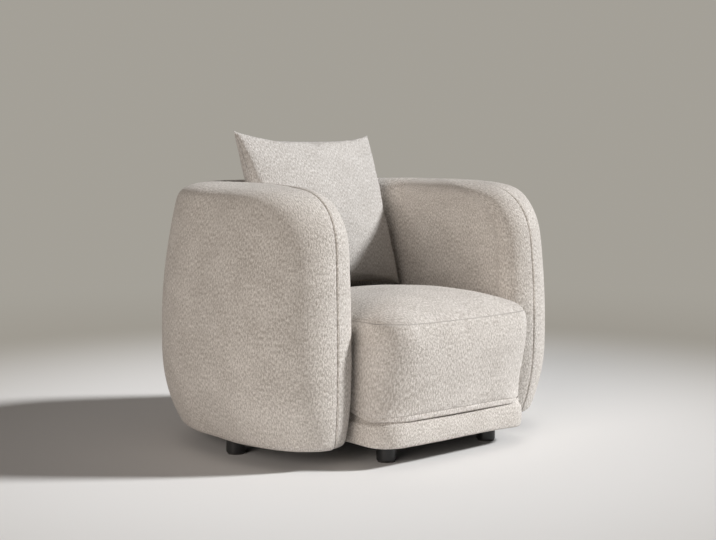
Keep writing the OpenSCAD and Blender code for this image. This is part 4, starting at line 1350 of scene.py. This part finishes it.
# %% Foam, wadding, felt and dust cloth
def porous_material(name, color, shade, cell, bump):
    """Foam, wadding or felt."""
    material = bpy.data.materials.new(name)
    material.use_nodes = True
    tree = material.node_tree
    shader = tree.nodes["Principled BSDF"]
    shader.inputs["Roughness"].default_value = 0.95
    shader.inputs["Specular IOR Level"].default_value = 0.1
    place = add(tree, "ShaderNodeTexCoord")
    holes = add(tree, "ShaderNodeGroup", node_tree=porous)
    holes.inputs["Color"].default_value = (*color, 1)
    holes.inputs["Shade"].default_value = (*shade, 1)
    holes.inputs["Cell Size"].default_value = cell
    relief = add(tree, "ShaderNodeBump", {"Strength": 0.7, "Distance": bump})
    join(tree,
         (place.outputs["Object"], holes.inputs["Place"]),
         (holes.outputs["Color"], shader.inputs["Base Color"]),
         (holes.outputs["Height"], relief.inputs["Height"]), (relief.outputs[0], shader.inputs["Normal"]))
    return material


foam = porous_material("foam", (0.88, 0.79, 0.52), (0.66, 0.56, 0.34), 0.0014, 0.0006)
wadding = porous_material("wadding", (0.88, 0.87, 0.83), (0.70, 0.69, 0.65), 0.0035, 0.0012)
felt = porous_material("felt", (0.62, 0.60, 0.55), (0.44, 0.42, 0.38), 0.0020, 0.0006)
dust_black = porous_material(
    "dust_black", (0.030, 0.030, 0.031), (0.015, 0.015, 0.016), 0.0018, 0.0003)
print("porous:", foam.name, wadding.name, felt.name, dust_black.name)

# %% [markdown]
# ### Wood
# The rings and the base are plywood: on their flat faces the grain of one veneer runs across
# the chair, and on their cut edges the veneers show as thin light and dark lines. Posts, rails
# and blocks are planed softwood with a long grain. Both read Object coordinates, so the
# veneers lie level in every board.

# %% Grain group
grain, given, put = new_group(
    "grain",
    [("Place", "Vector", None),
     ("Early", "Color", (0.8, 0.6, 0.4, 1)),
     ("Late", "Color", (0.6, 0.4, 0.25, 1)),
     ("Ring Width", "Float", 0.006)],
    [("Color", "Color"), ("Height", "Float"), ("Roughness", "Float")])
drift = add(grain, "ShaderNodeTexNoise", {"Scale": 7.0, "Detail": 3.0})
join(grain, (given.outputs["Place"], drift.inputs["Vector"]))
apart = add(grain, "ShaderNodeSeparateXYZ")
join(grain, (given.outputs["Place"], apart.inputs[0]))
way = figured(grain, "MULTIPLY_ADD", drift.outputs[0], 0.05, apart.outputs[1])
way = figured(grain, "MULTIPLY_ADD", apart.outputs[2], 0.6, way)
rings = figured(grain, "FRACT", figured(grain, "DIVIDE", way, given.outputs["Ring Width"]), 0.0)
rings = figured(grain, "POWER", rings, 2.5)
pores = add(grain, "ShaderNodeTexNoise", {"Scale": 1.0, "Detail": 2.0})
join(grain, (scaled(grain, given.outputs["Place"], (60.0, 1400.0, 1400.0)), pores.inputs["Vector"]))
share = figured(grain, "MULTIPLY", pores.outputs[0], 0.3)
share = figured(grain, "MULTIPLY_ADD", rings, 0.7, share, clamp=True)
join(grain,
     (mixed(grain, share, given.outputs["Early"], given.outputs["Late"]), put.inputs["Color"]),
     (pores.outputs[0], put.inputs["Height"]),
     (figured(grain, "MULTIPLY_ADD", share, -0.12, 0.68), put.inputs["Roughness"]))
print("group:", grain.name)


# %% Plywood and softwood
def wood_material(name, early, late, ring, turned=False, veneer=0.0):
    """Softwood along X, or along Z when turned, or plywood with its veneers showing on edges."""
    material = bpy.data.materials.new(name)
    material.use_nodes = True
    tree = material.node_tree
    shader = tree.nodes["Principled BSDF"]
    shader.inputs["Specular IOR Level"].default_value = 0.3
    place = add(tree, "ShaderNodeTexCoord")
    spin = add(tree, "ShaderNodeMapping")
    spin.inputs["Rotation"].default_value = (0.0, math.pi / 2 if turned else 0.0, 0.0)
    figure = add(tree, "ShaderNodeGroup", node_tree=grain)
    figure.inputs["Early"].default_value = (*early, 1)
    figure.inputs["Late"].default_value = (*late, 1)
    figure.inputs["Ring Width"].default_value = ring
    relief = add(tree, "ShaderNodeBump", {"Strength": 0.4, "Distance": 0.0003})
    join(tree,
         (place.outputs["Object"], spin.inputs["Vector"]), (spin.outputs[0], figure.inputs["Place"]),
         (figure.outputs["Height"], relief.inputs["Height"]), (relief.outputs[0], shader.inputs["Normal"]),
         (figure.outputs["Roughness"], shader.inputs["Roughness"]))
    color = figure.outputs["Color"]
    if veneer:
        sides = add(tree, "ShaderNodeSeparateXYZ")
        facing = add(tree, "ShaderNodeNewGeometry")
        heights = add(tree, "ShaderNodeSeparateXYZ")
        join(tree,
             (facing.outputs["Normal"], sides.inputs[0]),
             (place.outputs["Object"], heights.inputs[0]))
        level = figured(tree, "GREATER_THAN", figured(tree, "ABSOLUTE", sides.outputs[2], 0.0), 0.7)
        layer = figured(tree, "FRACT", figured(tree, "DIVIDE", heights.outputs[2], 2 * veneer), 0.0)
        layer = figured(tree, "GREATER_THAN", layer, 0.5)
        edges = mixed(tree, layer, early, tuple(0.55 * c for c in late))
        color = mixed(tree, level, edges, color)
    join(tree, (color, shader.inputs["Base Color"]))
    return material


plywood = wood_material("plywood", (0.66, 0.50, 0.31), (0.52, 0.36, 0.20), 0.021, veneer=0.0018)
rail_wood = wood_material("rail_wood", (0.62, 0.43, 0.24), (0.42, 0.25, 0.11), 0.0065)
post_wood = wood_material("post_wood", (0.62, 0.43, 0.24), (0.42, 0.25, 0.11), 0.0065, turned=True)
print("wood:", plywood.name, rail_wood.name, post_wood.name)

# %% [markdown]
# ### Webbing, zip, feet and metal
# The webbing is elastic tape with a fine stretched mottle. Feet are turned and sprayed
# black, so they have a faint orange peel and a satin gloss. Screws, studs and nuts are zinc
# plated steel with a soft, slightly cloudy shine.

# %% Small materials
def plain_material(name, color, shade, scale, roughness, metallic=0.0, bump=0.0002, stretch=(1, 1, 1)):
    """A finish with a fine mottle and relief in Object coordinates."""
    material = bpy.data.materials.new(name)
    material.use_nodes = True
    tree = material.node_tree
    shader = tree.nodes["Principled BSDF"]
    shader.inputs["Metallic"].default_value = metallic
    place = add(tree, "ShaderNodeTexCoord")
    mottle = add(tree, "ShaderNodeTexNoise", {"Scale": scale, "Detail": 4.0})
    relief = add(tree, "ShaderNodeBump", {"Strength": 0.5, "Distance": bump})
    join(tree,
         (scaled(tree, place.outputs["Object"], stretch), mottle.inputs["Vector"]),
         (mixed(tree, mottle.outputs[0], shade, color), shader.inputs["Base Color"]),
         (figured(tree, "MULTIPLY_ADD", mottle.outputs[0], 0.2, roughness - 0.1),
          shader.inputs["Roughness"]),
         (mottle.outputs[0], relief.inputs["Height"]), (relief.outputs[0], shader.inputs["Normal"]))
    return material


foot_black = plain_material(
    "foot_black", (0.016, 0.016, 0.017), (0.010, 0.010, 0.011), 900.0, 0.38, bump=0.00008)
zinc = plain_material("zinc", (0.68, 0.68, 0.70), (0.50, 0.50, 0.53), 260.0, 0.38, metallic=1.0)
glide = plain_material(
    "glide", (0.055, 0.053, 0.050), (0.035, 0.034, 0.032), 1500.0, 0.85, bump=0.0004)
zip_metal = plain_material(
    "zip_metal", (0.42, 0.40, 0.37), (0.30, 0.28, 0.26), 500.0, 0.35, metallic=1.0)
zip_plastic = plain_material(
    "zip_plastic", (0.40, 0.35, 0.30), (0.32, 0.28, 0.24), 700.0, 0.45)
zip_tape = plain_material(
    "zip_tape", (0.50, 0.44, 0.37), (0.40, 0.35, 0.29), 1.0, 0.9,
    bump=0.0003, stretch=(1700, 1700, 500))
webbing = plain_material(
    "webbing", (0.16, 0.19, 0.14), (0.08, 0.10, 0.07), 1.0, 0.85,
    bump=0.0005, stretch=(420, 900, 900))
print("small finishes:", foot_black.name, zinc.name, glide.name, webbing.name)

# %% Give every piece its finish
finishes = {
    arm_cloth: barrel_covers + [rail_cover],
    seat_cloth: [seat_top, seat_side, seat_under_roll],
    under_cloth: [seat_bottom],
    pillow_cloth: [pillow_front, pillow_back],
    filling_cloth: [pillow_filling],
    foam: barrel_foams + [seat_foam],
    wadding: waddings + [rail_wadding],
    felt: [deck],
    dust_black: [dust_cloth],
    zip_tape: [pillow_strip, "seat_zip_tape"],
    zip_plastic: ["seat_zip_coil"],
    zip_metal: ["seat_zip_slider"],
    plywood: ["base_board", "middle_ring", "top_ring"],
    rail_wood: ["seat_front_rail", "seat_rear_rail", "seat_left_rail", "seat_right_rail",
                "corner_blocks"],
    post_wood: ["nose_posts", "side_posts", "back_posts"],
    webbing: ["long_webbing", "cross_webbing"],
    foot_black: [f"{place}_{side}_foot"
                 for place in ("front", "side", "rear") for side in ("left", "right")],
    glide: ["foot_glides"],
    zinc: ["block_screws", "foot_studs", "tee_nuts"],
}
for material, pieces in finishes.items():
    for piece in pieces:
        mesh = (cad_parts[piece] if isinstance(piece, str) else piece).data
        mesh.materials.clear()
        mesh.materials.append(material)
print("finishes on", sum(len(p) for p in finishes.values()), "pieces")

# %% [markdown]
# ## Floor, background and light
# The photograph has a pale floor that darkens softly into a warm grey wall. A wall would stand
# in the way of every other view, so the floor is one large disc whose colour runs from pale
# near the chair to the grey of the background further off. The light is a key lamp from the
# right, a wide warm lamp low on the left, and a faint glow from all round. The grey of the
# background is shown only to the camera and in reflections, so it doesn't light the cloth.

# %% Stage
background = (0.372, 0.352, 0.312)
near_floor = (0.79, 0.785, 0.78)
FLOOR_R = 14.0
tint_from, tint_to = 0.7, 2.3
glow_from, glow_to = 1.6, 4.0
bm = bmesh.new()
bmesh.ops.create_circle(bm, cap_ends=True, radius=FLOOR_R, segments=96)
floor = finish_mesh(bm, "floor", smooth=False)
material = bpy.data.materials.new("floor")
material.use_nodes = True
tree = material.node_tree
shader = tree.nodes["Principled BSDF"]
shader.inputs["Roughness"].default_value = 0.9
shader.inputs["Specular IOR Level"].default_value = 0.1
place = add(tree, "ShaderNodeTexCoord")
away = add(tree, "ShaderNodeVectorMath", operation="LENGTH")
join(tree, (place.outputs["Object"], away.inputs[0]))
fade = add(tree, "ShaderNodeMapRange", {"From Min": tint_from, "From Max": tint_to},
           interpolation_type="SMOOTHSTEP")
join(tree, (away.outputs["Value"], fade.inputs["Value"]))
join(tree, (mixed(tree, fade.outputs[0], near_floor, background), shader.inputs["Base Color"]))
glow = add(tree, "ShaderNodeEmission", {"Color": (*background, 1)})
blend = add(tree, "ShaderNodeMixShader")
far = add(tree, "ShaderNodeMapRange", {"From Min": glow_from, "From Max": glow_to},
          interpolation_type="SMOOTHSTEP")
join(tree,
     (away.outputs["Value"], far.inputs["Value"]), (far.outputs[0], blend.inputs[0]),
     (shader.outputs[0], blend.inputs[1]), (glow.outputs[0], blend.inputs[2]),
     (blend.outputs[0], tree.nodes["Material Output"].inputs[0]))
floor.data.materials.append(material)
print("floor fades to", background)

# %% World
scene = bpy.context.scene
scene.view_settings.view_transform = "Standard"
world = bpy.data.worlds.new("studio")
world.use_nodes = True
scene.world = world
tree = world.node_tree
sky = tree.nodes["Background"]
sky.inputs["Color"].default_value = (1.0, 0.97, 0.94, 1)
sky.inputs["Strength"].default_value = 0.07
wall = add(tree, "ShaderNodeBackground", {"Color": (*background, 1), "Strength": 1.0})
seen = add(tree, "ShaderNodeLightPath")
shown = figured(tree, "MAXIMUM", seen.outputs["Is Camera Ray"], seen.outputs["Is Glossy Ray"])
shown = figured(tree, "MAXIMUM", shown, seen.outputs["Is Transmission Ray"])
switch = add(tree, "ShaderNodeMixShader")
join(tree, (shown, switch.inputs[0]), (sky.outputs[0], switch.inputs[1]),
     (wall.outputs[0], switch.inputs[2]), (switch.outputs[0], tree.nodes["World Output"].inputs[0]))
print("world glows at", sky.inputs["Strength"].default_value)


# %% Lamps
def soft_sun(name, heading, height, size, energy, color):
    """A far lamp that stands at a heading and a height in degrees, size wide."""
    data = bpy.data.lights.new(name, "SUN")
    data.energy = energy
    data.angle = math.radians(size)
    data.color = color
    lamp = bpy.data.objects.new(name, data)
    side, up = math.radians(heading), math.radians(height)
    towards = Vector((math.cos(side) * math.cos(up), math.sin(side) * math.cos(up), math.sin(up)))
    lamp.rotation_euler = towards.to_track_quat("Z", "Y").to_euler()
    bpy.context.scene.collection.objects.link(lamp)
    return lamp


key = soft_sun("key", -38.0, 33.0, 7.0, 4.0, (1.0, 1.0, 1.0))
fill = soft_sun("fill", -162.0, 18.0, 36.0, 1.34, (1.0, 0.90, 0.82))
print("lamps:", key.name, key.data.energy, fill.name, fill.data.energy)
